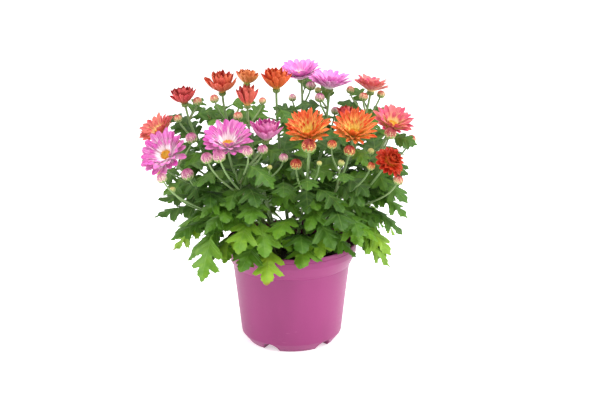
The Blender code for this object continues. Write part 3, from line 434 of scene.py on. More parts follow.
# Buds: (shoot, centre, radius)
BUDS = (
    ("pink_left", (-0.110, -0.078, 0.176), 0.0045),
    ("pink_left", (-0.090, -0.052, 0.172), 0.0055),
    ("pink_left", (-0.103, -0.055, 0.159), 0.0027),
    ("pink_left", (-0.088, -0.026, 0.198), 0.0052),
    ("pink_front", (-0.071, -0.079, 0.194), 0.0050),
    ("pink_front", (-0.060, -0.088, 0.198), 0.0054),
    ("pink_front", (-0.036, -0.080, 0.200), 0.0045),
    ("pink_front", (-0.024, -0.054, 0.195), 0.0045),
    ("pink_front", (-0.006, -0.052, 0.187), 0.0040),
    ("pink_front", (-0.018, -0.058, 0.180), 0.0023),
    ("pink_back", (0.001, 0.043, 0.219), 0.0037),
    ("pink_back", (0.018, 0.048, 0.229), 0.0045),
    ("pink_right", (0.026, 0.017, 0.225), 0.0045),
    ("pink_right", (0.0245, 0.027, 0.2295), 0.0031),
    ("pink_right", (0.041, 0.054, 0.204), 0.0040),
    ("pink_back_left", (-0.040, 0.084, 0.160), 0.0045),
    ("pink_back_left", (-0.081, 0.072, 0.156), 0.0050),
    ("pink_back_left", (-0.060, 0.094, 0.146), 0.0035),
    ("orange_front", (0.016, -0.087, 0.207), 0.0062),
    ("orange_front", (0.005, -0.070, 0.186), 0.0050),
    ("orange_front", (0.025, -0.070, 0.187), 0.0023),
    ("orange_right", (0.036, -0.064, 0.202), 0.0042),
    ("orange_right", (0.051, -0.066, 0.197), 0.0050),
    ("orange_right", (0.044, -0.062, 0.185), 0.0030),
    ("orange_right", (0.070, -0.054, 0.180), 0.0038),
    ("orange_back", (0.036, 0.092, 0.170), 0.0050),
    ("orange_back", (0.001, 0.094, 0.164), 0.0045),
    ("orange_back", (0.080, 0.072, 0.168), 0.0042),
    ("red_left", (-0.101, -0.008, 0.2115), 0.0037),
    ("red_left", (-0.125, -0.012, 0.181), 0.0031),
    ("red_left", (-0.084, 0.002, 0.225), 0.0041),
    ("red_high_left", (-0.068, -0.010, 0.230), 0.0041),
    ("red_high_left", (-0.075, 0.010, 0.208), 0.0028),
    ("red_centre", (-0.046, -0.032, 0.2195), 0.0040),
    ("red_centre", (-0.025, -0.016, 0.2295), 0.0033),
    ("red_high_right", (0.0545, 0.040, 0.227), 0.0038),
    ("red_high_right", (0.066, 0.022, 0.2245), 0.0042),
    ("red_high_right", (0.083, 0.044, 0.222), 0.0038),
    ("red_right", (0.087, -0.046, 0.2075), 0.0054),
    ("red_right", (0.108, -0.010, 0.193), 0.0041),
    ("red_right", (0.094, -0.056, 0.168), 0.0044),
    ("red_right", (0.071, -0.030, 0.187), 0.0030),
    ("red_back_right", (0.098, 0.054, 0.160), 0.0045),
    ("red_back_right", (0.084, 0.066, 0.178), 0.0040),
    ("red_back_left", (-0.104, 0.058, 0.150), 0.0045),
    ("red_back_left", (-0.124, 0.048, 0.146), 0.0038),
)

# Leaves given one by one: (shoot, share of the stem below it, tip, blade length, rise of the arch)
SET_LEAVES = (
    ("red_left", 0.30, (-0.119, -0.030, 0.142), 0.044, 0.012),
    ("pink_left", 0.36, (-0.121, -0.047, 0.131), 0.046, 0.016),
    ("pink_left", 0.26, (-0.106, -0.054, 0.112), 0.040, 0.020),
    ("red_left", 0.16, (-0.107, -0.026, 0.093), 0.042, 0.030),
    ("pink_left", 0.30, (-0.079, -0.066, 0.077), 0.043, 0.050),
    ("red_left", 0.10, (-0.060, -0.045, 0.087), 0.034, 0.030),
    ("pink_front", 0.30, (-0.045, -0.090, 0.111), 0.044, 0.030),
    ("red_centre", 0.34, (-0.035, -0.092, 0.139), 0.040, 0.024),
    ("orange_front", 0.24, (-0.012, -0.082, 0.122), 0.038, 0.024),
    ("pink_front", 0.12, (-0.021, -0.083, 0.080), 0.040, 0.026),
    ("pink_front", 0.06, (-0.046, -0.064, 0.087), 0.030, 0.018),
    ("orange_front", 0.16, (0.014, -0.057, 0.124), 0.030, 0.012),
    ("orange_front", 0.05, (0.006, -0.060, 0.099), 0.028, 0.014),
    ("orange_right", 0.14, (0.026, -0.067, 0.099), 0.034, 0.030),
    ("orange_right", 0.06, (0.044, -0.055, 0.100), 0.026, 0.014),
    ("orange_right", 0.32, (0.045, -0.086, 0.131), 0.040, 0.026),
    ("red_right", 0.24, (0.060, -0.070, 0.120), 0.038, 0.026),
    ("red_right", 0.12, (0.085, -0.045, 0.091), 0.046, 0.030),
    ("red_right", 0.30, (0.096, -0.008, 0.100), 0.042, 0.034),
    ("red_right", 0.42, (0.101, -0.018, 0.141), 0.046, 0.014),
    ("red_high_right", 0.56, (0.108, 0.008, 0.160), 0.042, 0.014),
    ("orange_front", 0.62, (0.015, -0.092, 0.169), 0.032, 0.018),
    ("orange_right", 0.60, (0.046, -0.091, 0.170), 0.032, 0.018),
    ("red_middle", 0.40, (-0.006, -0.076, 0.158), 0.036, 0.016),
    ("pink_front", 0.80, (-0.014, -0.084, 0.168), 0.036, 0.018),
    ("pink_front", 0.66, (-0.080, -0.074, 0.161), 0.036, 0.018),
    ("red_left", 0.62, (-0.092, -0.036, 0.166), 0.034, 0.016),
    ("red_high_left", 0.84, (-0.073, -0.020, 0.208), 0.026, 0.012),
    ("red_middle", 0.80, (0.004, -0.026, 0.196), 0.026, 0.012),
)

# Petal colours: the petal's inner face, its streaks, its base, its outer face, and how far out the
# base colour reaches
WHITE = (0.93, 0.84, 0.86)
CREAM = (0.78, 0.55, 0.48)
STRAW = (0.93, 0.74, 0.30)
YOLK = (1.0, 0.83, 0.24)
OCHRE = (0.62, 0.36, 0.07)
BRASS = (0.60, 0.34, 0.10)
BRONZE = (0.55, 0.32, 0.05)
OLIVE = (0.42, 0.38, 0.07)
UMBER = (0.30, 0.16, 0.05)
RUST = (0.62, 0.18, 0.02)
OUTER_BASE = 0.17
PETAL_LOOKS = {
    "lilac": ((0.67, 0.095, 0.45), (0.40, 0.014, 0.23), WHITE, (0.74, 0.23, 0.53), 0.54),
    "pale_lilac": ((0.80, 0.24, 0.64), (0.60, 0.090, 0.44), WHITE, (0.82, 0.29, 0.65), 0.34),
    "magenta": ((0.60, 0.045, 0.36), (0.40, 0.012, 0.20), CREAM, (0.84, 0.26, 0.58), 0.20),
    "orange": ((0.80, 0.078, 0.018), (0.48, 0.012, 0.008), YOLK, (0.80, 0.18, 0.045), 0.62),
    "salmon": ((0.47, 0.008, 0.014), (0.27, 0.002, 0.006), OCHRE, (0.74, 0.13, 0.085), 0.22),
    "garnet": ((0.30, 0.004, 0.010), (0.18, 0.001, 0.004), BRASS, (0.60, 0.075, 0.070), 0.18),
    "amber": ((0.60, 0.06, 0.018), (0.42, 0.015, 0.006), OLIVE, (0.70, 0.21, 0.070), 0.40),
    "vermilion": ((0.60, 0.028, 0.008), (0.36, 0.006, 0.004), BRONZE, (0.66, 0.095, 0.030), 0.30),
    "crimson": ((0.40, 0.006, 0.016), (0.20, 0.002, 0.006), UMBER, (0.60, 0.060, 0.075), 0.14),
    "scarlet": ((0.52, 0.018, 0.006), (0.24, 0.003, 0.003), RUST, (0.58, 0.070, 0.025), 0.22),
    "coral": ((0.66, 0.065, 0.115), (0.44, 0.014, 0.040), STRAW, (0.70, 0.150, 0.165), 0.42),
    "rose": ((0.68, 0.075, 0.18), (0.46, 0.016, 0.080), STRAW, (0.72, 0.16, 0.20), 0.44),
}
BLOOM_LOOKS = {
    "pink_cup": "magenta",
    "pink_back": "pale_lilac",
    "pink_right": "pale_lilac",
    "red_middle": "vermilion",
    "red_goblet": "garnet",
    "red_high_behind": "amber",
    "red_far_left": "crimson",
    "red_double": "scarlet",
    "red_opening": "crimson",
    "coral_right": "rose",
    "coral_high_right": "rose",
}
FAMILY_LOOKS = {"pink": "lilac", "orange": "orange", "red": "salmon", "coral": "coral"}

# Bud colours, for each family of shoots: petal middle, petal edge, green base, and the colour that
# its petals turn to as the bud fills
BUD_LOOKS = {
    "pink": ((0.36, 0.060, 0.18), (0.70, 0.46, 0.46), (0.66, 0.60, 0.42), (0.38, 0.090, 0.21)),
    "orange": ((0.34, 0.020, 0.012), (0.58, 0.16, 0.060), (0.66, 0.44, 0.13), (0.18, 0.004, 0.005)),
    "red": ((0.46, 0.060, 0.050), (0.68, 0.36, 0.25), (0.60, 0.54, 0.26), (0.22, 0.006, 0.016)),
    "small": ((0.44, 0.38, 0.12), (0.54, 0.50, 0.20), (0.32, 0.42, 0.12), (0.44, 0.30, 0.10)),
}

# Shaders


class Value:
    """What a socket gives, so that a material reads as sums and products of such values."""

    def __init__(self, shade, socket):
        self.shade = shade
        self.socket = socket

    def __add__(self, other):
        return self.shade.math("ADD", self, other)

    def __sub__(self, other):
        return self.shade.math("SUBTRACT", self, other)

    def __mul__(self, other):
        return self.shade.math("MULTIPLY", self, other)

    def __abs__(self):
        return self.shade.math("ABSOLUTE", self)


class Shade:
    """A material's node tree, built one step at a time."""

    def __init__(self, name, roughness, specular=0.5):
        self.material = bpy.data.materials.new(name)
        self.material.use_nodes = True
        self.tree = self.material.node_tree
        self.shader = self.tree.nodes["Principled BSDF"].inputs
        self.plug(self.shader["Roughness"], roughness)
        self.plug(self.shader["Specular IOR Level"], specular)

    def plug(self, socket, given):
        if isinstance(given, Value):
            self.tree.links.new(given.socket, socket)
        elif isinstance(given, tuple) and socket.type == "RGBA":
            socket.default_value = (*given, 1.0)
        else:
            socket.default_value = given

    def value(self, kind, inputs, output=0, **settings):
        """One output of a new node, with its settings and what goes into its inputs."""
        node = self.tree.nodes.new("ShaderNode" + kind)
        for name, setting in settings.items():
            setattr(node, name, setting)
        for key, given in inputs.items():
            self.plug(node.inputs[key], given)
        return Value(self, node.outputs[output])

    def marks(self):
        """The four values that every point carries."""
        colour = self.value("Attribute", {}, "Color", attribute_name="marks")
        split = self.value("SeparateColor", {"Color": colour})
        sockets = (*split.socket.node.outputs, colour.socket.node.outputs["Alpha"])
        return [Value(self, socket) for socket in sockets]

    def math(self, operation, first, second=0.0):
        return self.value("Math", {0: first, 1: second}, operation=operation)

    def fade(self, value, start, end):
        """A smooth step from 0 at start to 1 at end."""
        inputs = {"Value": value, "From Min": start, "From Max": end}
        return self.value("MapRange", inputs, interpolation_type="SMOOTHSTEP")

    def mix(self, factor, first, second):
        return self.value("Mix", {"Factor": factor, 6: first, 7: second}, 2, data_type="RGBA")

    def noise(self, scale, detail, vector=None, stretch=(1.0, 1.0, 1.0)):
        vector = vector or self.value("TexCoord", {}, "Object")
        mapped = self.value("Mapping", {"Vector": vector, "Scale": stretch})
        return self.value("TexNoise", {"Vector": mapped, "Scale": scale, "Detail": detail})

    def ramp(self, value, stops):
        colour = self.value("ValToRGB", {"Fac": value})
        elements = colour.socket.node.color_ramp.elements
        while len(elements) < len(stops):
            elements.new(0.5)
        for element, (place, shade) in zip(elements, stops):
            element.position = place
            element.color = (*shade, 1.0)
        return colour

    def finish(self, colour, bump=None, roughness=None):
        """The material, with its colour and with a bump of (height, strength, distance)."""
        self.plug(self.shader["Base Color"], colour)
        if roughness is not None:
            self.plug(self.shader["Roughness"], roughness)
        if bump is not None:
            inputs = dict(zip(("Height", "Strength", "Distance"), bump))
            self.plug(self.shader["Normal"], self.value("Bump", inputs))
        return self.material


def from_middle(across):
    """0 along the middle of a petal or scale, and 1 along its edges."""
    return abs(across * 2.0 - 1.0)


def leaf_material():
    """Green by tone, with pale veins, a greyer underside and dry tips on the oldest leaves."""
    shade = Shade("leaf", 0.50, 0.30)
    along, vein, top, tone = shade.marks()
    shifted = tone + (shade.noise(150.0, 4.0) - 0.5) * 0.34
    green = shade.ramp(shifted, LEAF_GREENS)
    veined = shade.mix(vein * 0.42, green, (0.19, 0.33, 0.060))
    below = shade.mix(0.55, veined, (0.11, 0.20, 0.050))
    faced = shade.mix(top, below, veined)
    dry = shade.fade(along, 0.90, 0.99) * shade.fade(shifted, 0.66, 0.86)
    coloured = shade.mix(dry, faced, (0.26, 0.105, 0.025))
    relief = shade.noise(1400.0, 3.0) - vein * 0.8
    return shade.finish(coloured, (relief, 0.30, 0.0004))


def stem_material():
    """Pale grey-green and finely streaked, a little brown low down."""
    shade = Shade("stem", 0.58, 0.30)
    along, _, _, tone = shade.marks()
    streak = shade.noise(900.0, 3.0, stretch=(1.0, 1.0, 0.12))
    green = shade.mix(streak, (0.120, 0.205, 0.065), (0.270, 0.365, 0.165))
    toned = shade.mix(tone * 0.35, green, (0.115, 0.235, 0.060))
    low = shade.fade(along, 0.30, 0.0) * shade.noise(220.0, 2.0)
    return shade.finish(shade.mix(low, toned, (0.16, 0.10, 0.04)), (streak, 0.25, 0.0003))


def bract_material():
    """Green scales with a paler thin edge."""
    shade = Shade("bract", 0.55)
    along, across, _, tone = shade.marks()
    side = from_middle(across)
    rim = shade.math("MAXIMUM", shade.fade(side, 0.45, 0.95), shade.fade(along, 0.72, 1.0))
    body = shade.mix(tone, (0.085, 0.19, 0.035), (0.16, 0.30, 0.06))
    return shade.finish(shade.mix(rim * 0.75, body, (0.44, 0.50, 0.20)), (side, 0.2, 0.0002))


def petal_material(name):
    """Streaked along the petal, pale at its base, with a different colour on its outer face."""
    inner, streaks, base, outer, base_reach = PETAL_LOOKS[name]
    shade = Shade("petal_" + name, 0.50, 0.30)
    along, across, inside, tone = shade.marks()
    lane = shade.value("CombineXYZ", {"X": across * 7.0, "Y": along * 0.9, "Z": tone * 40.0})
    fine = shade.noise(1.6, 3.0, lane)
    streaked = shade.mix(shade.fade(fine, 0.45, 0.62), inner, streaks)
    edged = shade.mix(shade.fade(from_middle(across), 0.70, 1.0) * 0.60, streaked, outer)
    below = shade.mix(shade.fade(fine, 0.45, 0.72) * 0.5, outer, inner)
    faced = shade.mix(inside, below, edged)
    lit = shade.mix(tone * 0.18, faced, base)
    bare = along + (fine - 0.5) * 1.10 - inside * (base_reach - OUTER_BASE)
    pale = shade.fade(bare, OUTER_BASE + 0.14, OUTER_BASE - 0.20)
    return shade.finish(shade.mix(pale, lit, base), (fine, 0.22, 0.0004))


def bud_material(family):
    """Closed petals with pale edges, over a yellow-green base."""
    middle, edge, base, full = BUD_LOOKS[family]
    shade = Shade("bud_" + family, 0.55, 0.30)
    along, across, ripe, tone = shade.marks()
    ragged = from_middle(across) + (shade.noise(700.0, 2.0) - 0.5) * 0.6
    petal = shade.mix(shade.fade(ragged, 0.30, 0.85), middle, edge)
    top = shade.mix(shade.fade(along, 0.60, 0.95) * 0.75, petal, middle)
    deep = shade.mix(ripe * shade.fade(along, 0.05, 0.60), top, full)
    low = along + ripe * 0.20 + (tone - 0.5) * 0.16
    return shade.finish(shade.mix(shade.fade(low, 0.62, 0.10), deep, base), (ragged, 0.2, 0.0003))


def disc_material():
    """Golden florets, greener towards the middle."""
    shade = Shade("disc", 0.60)
    along, out, _, tone = shade.marks()
    ring = shade.mix(shade.fade(out, 0.15, 0.75), (0.62, 0.44, 0.03), (0.88, 0.43, 0.02))
    deep = shade.mix(0.5, ring, (0.55, 0.20, 0.01))
    tipped = shade.mix(shade.fade(along, 0.45, 0.95), deep, ring)
    lit = shade.mix(tone * 0.35, tipped, (0.95, 0.62, 0.10))
    return shade.finish(lit, (shade.noise(1500.0, 2.0), 0.2, 0.0002))


def pot_material():
    """Moulded magenta plastic: faint flow marks, a fine grain and pale scuffs low on the wall."""
    shade = Shade("pot", 0.36, 0.35)
    along = shade.marks()[0]
    cloud = shade.noise(26.0, 3.0, stretch=(1.0, 1.0, 0.30))
    colour = shade.mix(shade.fade(cloud, 0.30, 0.72), (0.222, 0.021, 0.117), (0.255, 0.026, 0.137))
    scratch = shade.noise(120.0, 5.0, stretch=(1.0, 1.0, 7.0))
    scuff = shade.fade(scratch, 0.66, 0.80) * shade.fade(along, 0.55, 0.10) * 0.55
    worn = shade.mix(scuff, colour, (0.44, 0.13, 0.30))
    dust = shade.fade(shade.noise(300.0, 4.0), 0.66, 0.78) * 0.30
    dusted = shade.mix(dust, worn, (0.21, 0.030, 0.115))
    return shade.finish(dusted, (shade.noise(900.0, 3.0), 0.10, 0.0003), scratch * 0.16 + 0.33)


def soil_material():
    """Dark peat with a few paler fibres."""
    shade = Shade("soil", 0.95)
    grain = shade.noise(700.0, 5.0)
    dark = shade.mix(grain, (0.010, 0.007, 0.005), (0.050, 0.031, 0.020))
    fibre = shade.fade(shade.noise(420.0, 4.0, stretch=(1.0, 0.25, 1.0)), 0.64, 0.74) * 0.5
    return shade.finish(shade.mix(fibre, dark, (0.13, 0.075, 0.040)), (grain, 0.8, 0.0015))


# Meshes


def add_object(name, data):
    obj = bpy.data.objects.new(name, data)
    bpy.context.scene.collection.objects.link(obj)
    return obj


def settle(obj, slot, *replaced):
    """Tie a piece to the part's one body and hide the solid it replaces. The slot is not used."""
    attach(obj, "root")
    if replaced:
        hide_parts(*replaced)


def dress(mesh, materials, marks, crease):
    """Materials, marks on every point, and smooth shading up to the crease angle in degrees."""
    mesh.materials.clear()
    for material in materials:
        mesh.materials.append(material)
    attribute = mesh.attributes.new("marks", "FLOAT_COLOR", "POINT")
    attribute.data.foreach_set("color", marks.astype(np.float32).ravel())
    mesh.shade_smooth()
    mesh.set_sharp_from_angle(angle=math.radians(crease))


def marks_for(shape, along, across, inside, tone):
    """Marks for a grid of points."""
    marks = np.empty((*shape, 4))
    for channel, value in enumerate((along, across, inside, tone)):
        marks[..., channel] = value
    return marks


def grid_faces(rows, columns, wrap=False):
    """Quads between neighbouring rows and columns of points, facing along columns x rows."""
    i, j = np.meshgrid(np.arange(rows - 1), np.arange(columns if wrap else columns - 1), indexing="ij")
    after = (j + 1) % columns
    quads = (i * columns + j, i * columns + after, (i + 1) * columns + after, (i + 1) * columns + j)
    return np.stack(quads, -1).reshape(-1, 4)


class Piece:
    """Points, their marks and faces, gathered until they become one object."""

    def __init__(self, name, materials):
        self.name = name
        self.materials = materials
        self.points = []
        self.marks = []
        self.faces = []
        self.kinds = []
        self.count = 0

    def add(self, points, marks, faces, kind=0):
        """Faces on new points. The kind is the place of their material in the piece's list."""
        points = np.asarray(points, float).reshape(-1, 3)
        self.points.append(points)
        self.marks.append(np.broadcast_to(np.asarray(marks, float).reshape(-1, 4), (len(points), 4)))
        self.faces.extend([tuple(index + self.count for index in face) for face in faces])
        self.kinds.extend([kind] * len(faces))
        self.count += len(points)

    def add_slab(self, top, below, marks_top, marks_below, kind=0):
        """A thin closed sheet between two grids of points, shaped (rows, columns, 3)."""
        rows, columns = top.shape[:2]
        size = rows * columns
        order = np.arange(size).reshape(rows, columns)
        border = (*order[0], *order[1:, -1], *order[-1, -2::-1], *order[-2:0:-1, 0])
        border = [int(index) for index in border]
        rim = [(a, a + size, b + size, b) for a, b in zip(border, border[1:] + border[:1])]
        flat = grid_faces(rows, columns)
        faces = flat.tolist() + (flat[:, ::-1] + size).tolist() + rim
        marks = np.concatenate((marks_top.reshape(-1, 4), marks_below.reshape(-1, 4)))
        self.add(np.stack((top, below)), marks, faces, kind)

    def add_tube(self, rings, marks, kind=0):
        """A closed tube through rings of points, shaped (rings, sides, 3)."""
        count, sides = rings.shape[:2]
        faces = grid_faces(count, sides, wrap=True).tolist()
        faces.append(tuple(range(sides - 1, -1, -1)))
        faces.append(tuple(range((count - 1) * sides, count * sides)))
        self.add(rings, marks, faces, kind)

    def build(self, slot, *replaced, crease=50):
        mesh = bpy.data.meshes.new(self.name)
        mesh.from_pydata(np.concatenate(self.points).tolist(), [], self.faces)
        dress(mesh, self.materials, np.concatenate(self.marks), crease)
        mesh.polygons.foreach_set("material_index", self.kinds)
        settle(add_object(self.name, mesh), slot, *replaced)


def unit(vectors):
    return vectors / np.maximum(np.linalg.norm(vectors, axis=-1, keepdims=True), 1e-12)


def even_turns(count):
    return np.arange(count) * math.tau / count


def turned_rings(profile, sides):
    """Rings of points round the z axis, one for each (radius, height) of a profile."""
    radius, height = np.array(profile).T[..., None]
    turns = even_turns(sides)
    return np.stack((radius * np.cos(turns), radius * np.sin(turns), height + 0 * turns), -1)


def sweep(path, radii, sides):
    """Ridged rings of points round a path, turned as little as possible from one to the next."""
    path = np.array([tuple(point) for point in path])
    tangents = unit(np.gradient(path, axis=0))
    normal = np.cross(tangents[0], OFF_STEM)
    turns = even_turns(sides)
    rings = []
    for point, tangent, radius in zip(path, tangents, radii):
        normal = unit(normal - normal.dot(tangent) * tangent)
        other = np.cross(tangent, normal)
        reach = radius * (1 + STEM_RIDGE * np.cos(STEM_RIDGES * turns))[:, None]
        rings.append(point + reach * (np.cos(turns)[:, None] * normal + np.sin(turns)[:, None] * other))
    return np.array(rings)


def placed(matrix, points):
    """Points of a bloom or bud, moved from its own axes to the part's."""
    matrix = np.array(matrix)
    return points @ matrix[:3, :3].T + matrix[:3, 3]


# Curves of the stems and stalks


def bezier(points, t):
    points = [Vector(p) for p in points]
    while len(points) > 1:
        points = [a.lerp(b, t) for a, b in zip(points, points[1:])]
    return points[0]


def blooms_of(shoot):
    return [bloom for bloom in BLOOMS if bloom[1] == shoot]


def buds_of(shoot):
    return [(place, radius) for owner, place, radius in BUDS if owner == shoot]


def stem_controls(shoot):
    """The curve of a shoot's main stem, from just above the soil to its first bloom."""
    _, _, _, place, facing, _ = blooms_of(shoot)[0]
    foot = Vector((*SHOOTS[shoot], SOIL_TOP + STEM_UPRIGHT))
    top = Vector(place)
    out = Vector((top.x - foot.x, top.y - foot.y, 0.0))
    rise = top.z - foot.z
    lower = foot + STEM_SPLAY * out + Vector((0, 0, STEM_CLIMB * rise))
    upper = top - STEM_AXIAL_SHARE * rise * Vector(facing).normalized()
    return foot, lower, upper, top


def stem_point(shoot, t):
    return bezier(stem_controls(shoot), t)


def stalk_start(shoot, place):
    """The highest share of the main stem from which a stalk still climbs to its place."""
    best = STALK_LOWEST / 100
    for step in range(STALK_LOWEST, STALK_HIGHEST):
        point = stem_point(shoot, step / 100)
        aside = math.hypot(place[0] - point.x, place[1] - point.y)
        if point.z < place[2] - STALK_DROP - STALK_DROP_SLOPE * aside:
            best = step / 100
    return best


def stalk_controls(shoot, place, facing):
    """The curve of a side stalk, from its main stem to a bloom or bud."""
    start = stem_point(shoot, stalk_start(shoot, place))
    end = Vector(place)
    across = start.lerp(end, STALK_OUT_SHARE)
    climb = start.lerp(end, STALK_UP_SHARE)
    middle = Vector((across.x, across.y, climb.z))
    last = end - STALK_AXIAL_SHARE * (end - start).length * Vector(facing).normalized()
    return start, middle, last, end


def bud_facing(place):
    return Vector((BUD_LEAN * place[0], BUD_LEAN * place[1], BUD_LIFT)).normalized()


def bloom_frame(place, facing):
    """The matrix of a bloom's or bud's own axes, with z along its facing."""
    turn = Vector((0, 0, 1)).rotation_difference(Vector(facing).normalized())
    return Matrix.Translation(place) @ turn.to_matrix().to_4x4()


# Leaves


def reaching(angle, slope, length):
    """A vector at an angle round the z axis and a slope above level, of the given length."""
    flat = length * math.cos(slope)
    return Vector((flat * math.cos(angle), flat * math.sin(angle), length * math.sin(slope)))


class LeafShape:
    """A leaf's middle surface: an arching rib, with the blade bending down on both sides of it."""

    SAMPLES = 24

    def __init__(self, start, tip, blade, arch, roll=0.0):
        start, tip = Vector(start), Vector(tip)
        middle = start.lerp(tip, 0.5) + Vector((0, 0, arch))
        spine = [bezier((start, middle, tip), i / self.SAMPLES) for i in range(self.SAMPLES + 1)]
        self.spine = np.array([tuple(point) for point in spine])
        steps = np.linalg.norm(np.diff(self.spine, axis=0), axis=1)
        self.ends = np.concatenate(((0.0,), np.cumsum(steps)))
        self.tangents = unit(np.gradient(self.spine, axis=0))
        self.blade = min(blade, BLADE_MOST * self.ends[-1])
        self.root = 1 - self.ends[-1] / self.blade
        across = Vector((tip.x - start.x, tip.y - start.y, 0.0)).cross(Vector((0, 0, 1)))
        self.side = np.array(Matrix.Rotation(roll, 3, tip - start) @ across.normalized())

    def points(self, along, half_width, hand, lift):
        """Points of the blade, with hand +1 or -1 for its side and lift above the middle surface."""
        distance = np.clip(self.ends[-1] - self.blade * (1 - along), 0.0, self.ends[-1])
        centre, direction = (
            np.stack([np.interp(distance, self.ends, column) for column in rows.T], -1)
            for rows in (self.spine, self.tangents)
        )
        up = unit(np.cross(self.side, unit(direction)))
        wide = half_width * self.blade
        droop = BLADE_DROOP * wide * (1 + 2 * half_width)
        return centre + (hand * wide)[..., None] * self.side + (lift - droop)[..., None] * up


def set_leaf_options(shoot, share, tip, blade, arch):
    """The places a listed leaf may have taken: start, tip, blade length and arch."""
    for size, lift, slide in product(SET_SIZES, SET_LIFTS, SET_SLIDES):
        start = stem_point(shoot, max(SET_LOWEST, share + slide))
        yield start, Vector(tip) + Vector((0, 0, lift)), size * blade, arch


def rule_leaf_options(shoot, index):
    """The places one leaf of the rule may have taken: start, tip, blade length and arch."""
    share = LEAF_START + index * LEAF_STEP
    start = stem_point(shoot, share)
    blade = LOW_BLADE + (HIGH_BLADE - LOW_BLADE) * (share / HIGH_SHARE) ** 2
    spin = random.Random(f"{shoot} leaves").uniform(0, math.tau) + index * LEAF_TURN
    pull = OUTWARD_PULL * PULL_PER_METRE
    heading = math.atan2(
        (1 - OUTWARD_PULL) * math.sin(spin) + pull * start.y,
        (1 - OUTWARD_PULL) * math.cos(spin) + pull * start.x,
    )
    for size, tilt, turn in product(SIZES_TRIED, TILTS_TRIED, TURNS_TRIED):
        slope = math.radians(LEAF_SLOPE + LEAF_SLOPE_GAIN * share + tilt)
        reach = LEAF_REACH * size * blade
        tip = start + reaching(heading + math.radians(turn), slope, reach)
        yield start, tip, size * blade, LEAF_ARCH * reach


def corner_tree(shoot):
    """The corners of a shoot's solid, ready for nearest-corner questions."""
    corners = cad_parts[shoot + "_shoot"].data.vertices
    tree = KDTree(len(corners))
    for corner in corners:
        tree.insert(corner.co, corner.index)
    tree.balance()
    return tree


def fitted_leaf(options, tree):
    """The option whose tip and lobes lie nearest to corners of the shoot's solid."""
    best, least = None, LEAF_MATCH
    for start, tip, blade, arch in options:
        error = tree.find(tip)[2]
        if error > LEAF_MATCH:
            continue
        shape = LeafShape(start, tip, blade, arch)
        lobes = np.array(SMALL_LOBES if shape.blade < SMALL_BLADE else LARGE_LOBES)
        for hand in (1.0, -1.0):
            for point in shape.points(lobes[:, 0], lobes[:, 1], hand, 0.0 * lobes[:, 0]):
                error = max(error, tree.find(point)[2])
        if error < least:
            best, least = shape, error
    return best


def shoot_leaves(shoot):
    """Every leaf of a shoot, found again among the places it may have taken."""
    tree = corner_tree(shoot)
    options = [set_leaf_options(shoot, *rest) for owner, *rest in SET_LEAVES if owner == shoot]
    options += [rule_leaf_options(shoot, index) for index in range(LEAVES_PER_SHOOT)]
    shapes = [fitted_leaf(places, tree) for places in options]
    return [shape for shape in shapes if shape is not None]


class Room:
    """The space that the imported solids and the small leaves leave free."""

    def __init__(self):
        self.trees = []
        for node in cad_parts.values():
            corners = [corner.co for corner in node.data.vertices]
            faces = [face.vertices[:] for face in node.data.polygons]
            self.trees.append(BVHTree.FromPolygons(corners, faces))
        self.taken = []

    def take(self, shape):
        """Take up a leaf's place where it is clear of everything, and say whether it was."""
        along, wide = np.repeat(CLEAR_POINTS, 3, axis=0).T
        hand = np.tile((0.0, 1.0, -1.0), len(CLEAR_POINTS))
        points = shape.points(along, wide * np.abs(hand), hand, 0.0 * hand)
        for other in self.taken:
            if np.abs(other.mean(0) - points.mean(0)).max() < SMALL_LEAF_NEAR:
                if np.linalg.norm(other[:, None] - points[None], axis=-1).min() < 2 * SMALL_LEAF_CLEAR:
                    return False
        for point, tree in product(points, self.trees):
            if tree.find_nearest(Vector(point), SMALL_LEAF_CLEAR)[0] is not None:
                return False
        self.taken.append(points)
        return True


def small_leaf(start, heading, blade, room):
    """The first free place for a small leaf, turned, tilted or shrunk where it has to be."""
    for size, tilt, turn in product(SMALL_LEAF_SIZES, SMALL_LEAF_TILTS, SMALL_LEAF_TURNS):
        angle = heading + math.radians(turn)
        slope = math.radians(SMALL_LEAF_SLOPE + SMALL_LEAF_TWIST * math.sin(angle) + tilt)
        reach = SMALL_LEAF_REACH * size * blade
        tip = start + reaching(angle, slope, reach)
        roll = SMALL_LEAF_ROLL * math.cos(angle)
        shape = LeafShape(start, tip, size * blade, SMALL_LEAF_ARCH * reach, roll)
        if room.take(shape):
            return shape
    return None


def small_leaves(shoot, room):
    """A shoot's small leaves: one in the crook of each side stalk, then those up its stem."""
    spots = []
    ends = [bloom[3] for bloom in blooms_of(shoot)[1:]] + [place for place, _ in buds_of(shoot)]
    for place in ends:
        share = stalk_start(shoot, place)
        start = stem_point(shoot, share)
        spots.append((share, start, math.atan2(place[1] - start.y, place[0] - start.x)))
    spin = random.Random(shoot + " small leaves").uniform(0, math.tau)
    for index, share in enumerate(SMALL_LEAF_TOPS):
        spots.append((share, stem_point(shoot, share), spin + index * LEAF_TURN))
    shapes = []
    for share, start, heading in spots:
        blade = SMALL_LEAF_LOW + (SMALL_LEAF_HIGH - SMALL_LEAF_LOW) * share**2
        shapes.append(small_leaf(start, heading, blade, room))
    return [shape for shape in shapes if shape is not None]


def leaf_edge(steps):
    """The half outline as a smooth curve: rows of (along, half width, rib share, vein)."""
    marks = np.array(LEAF_EDGE)
    padded = np.concatenate((2 * marks[:1] - marks[1:2], marks, 2 * marks[-1:] - marks[-2:-1]))
    rows = []
    for before, first, second, after in zip(padded, padded[1:], padded[2:], padded[3:]):
        for t in np.arange(steps) / steps:
            square = (2 * before - 5 * first + 4 * second - after) * t**2
            cube = (3 * first - before - 3 * second + after) * t**3
            rows.append(0.5 * (2 * first + (second - before) * t + square + cube))
    rows.append(marks[-1])
    return np.array(rows)


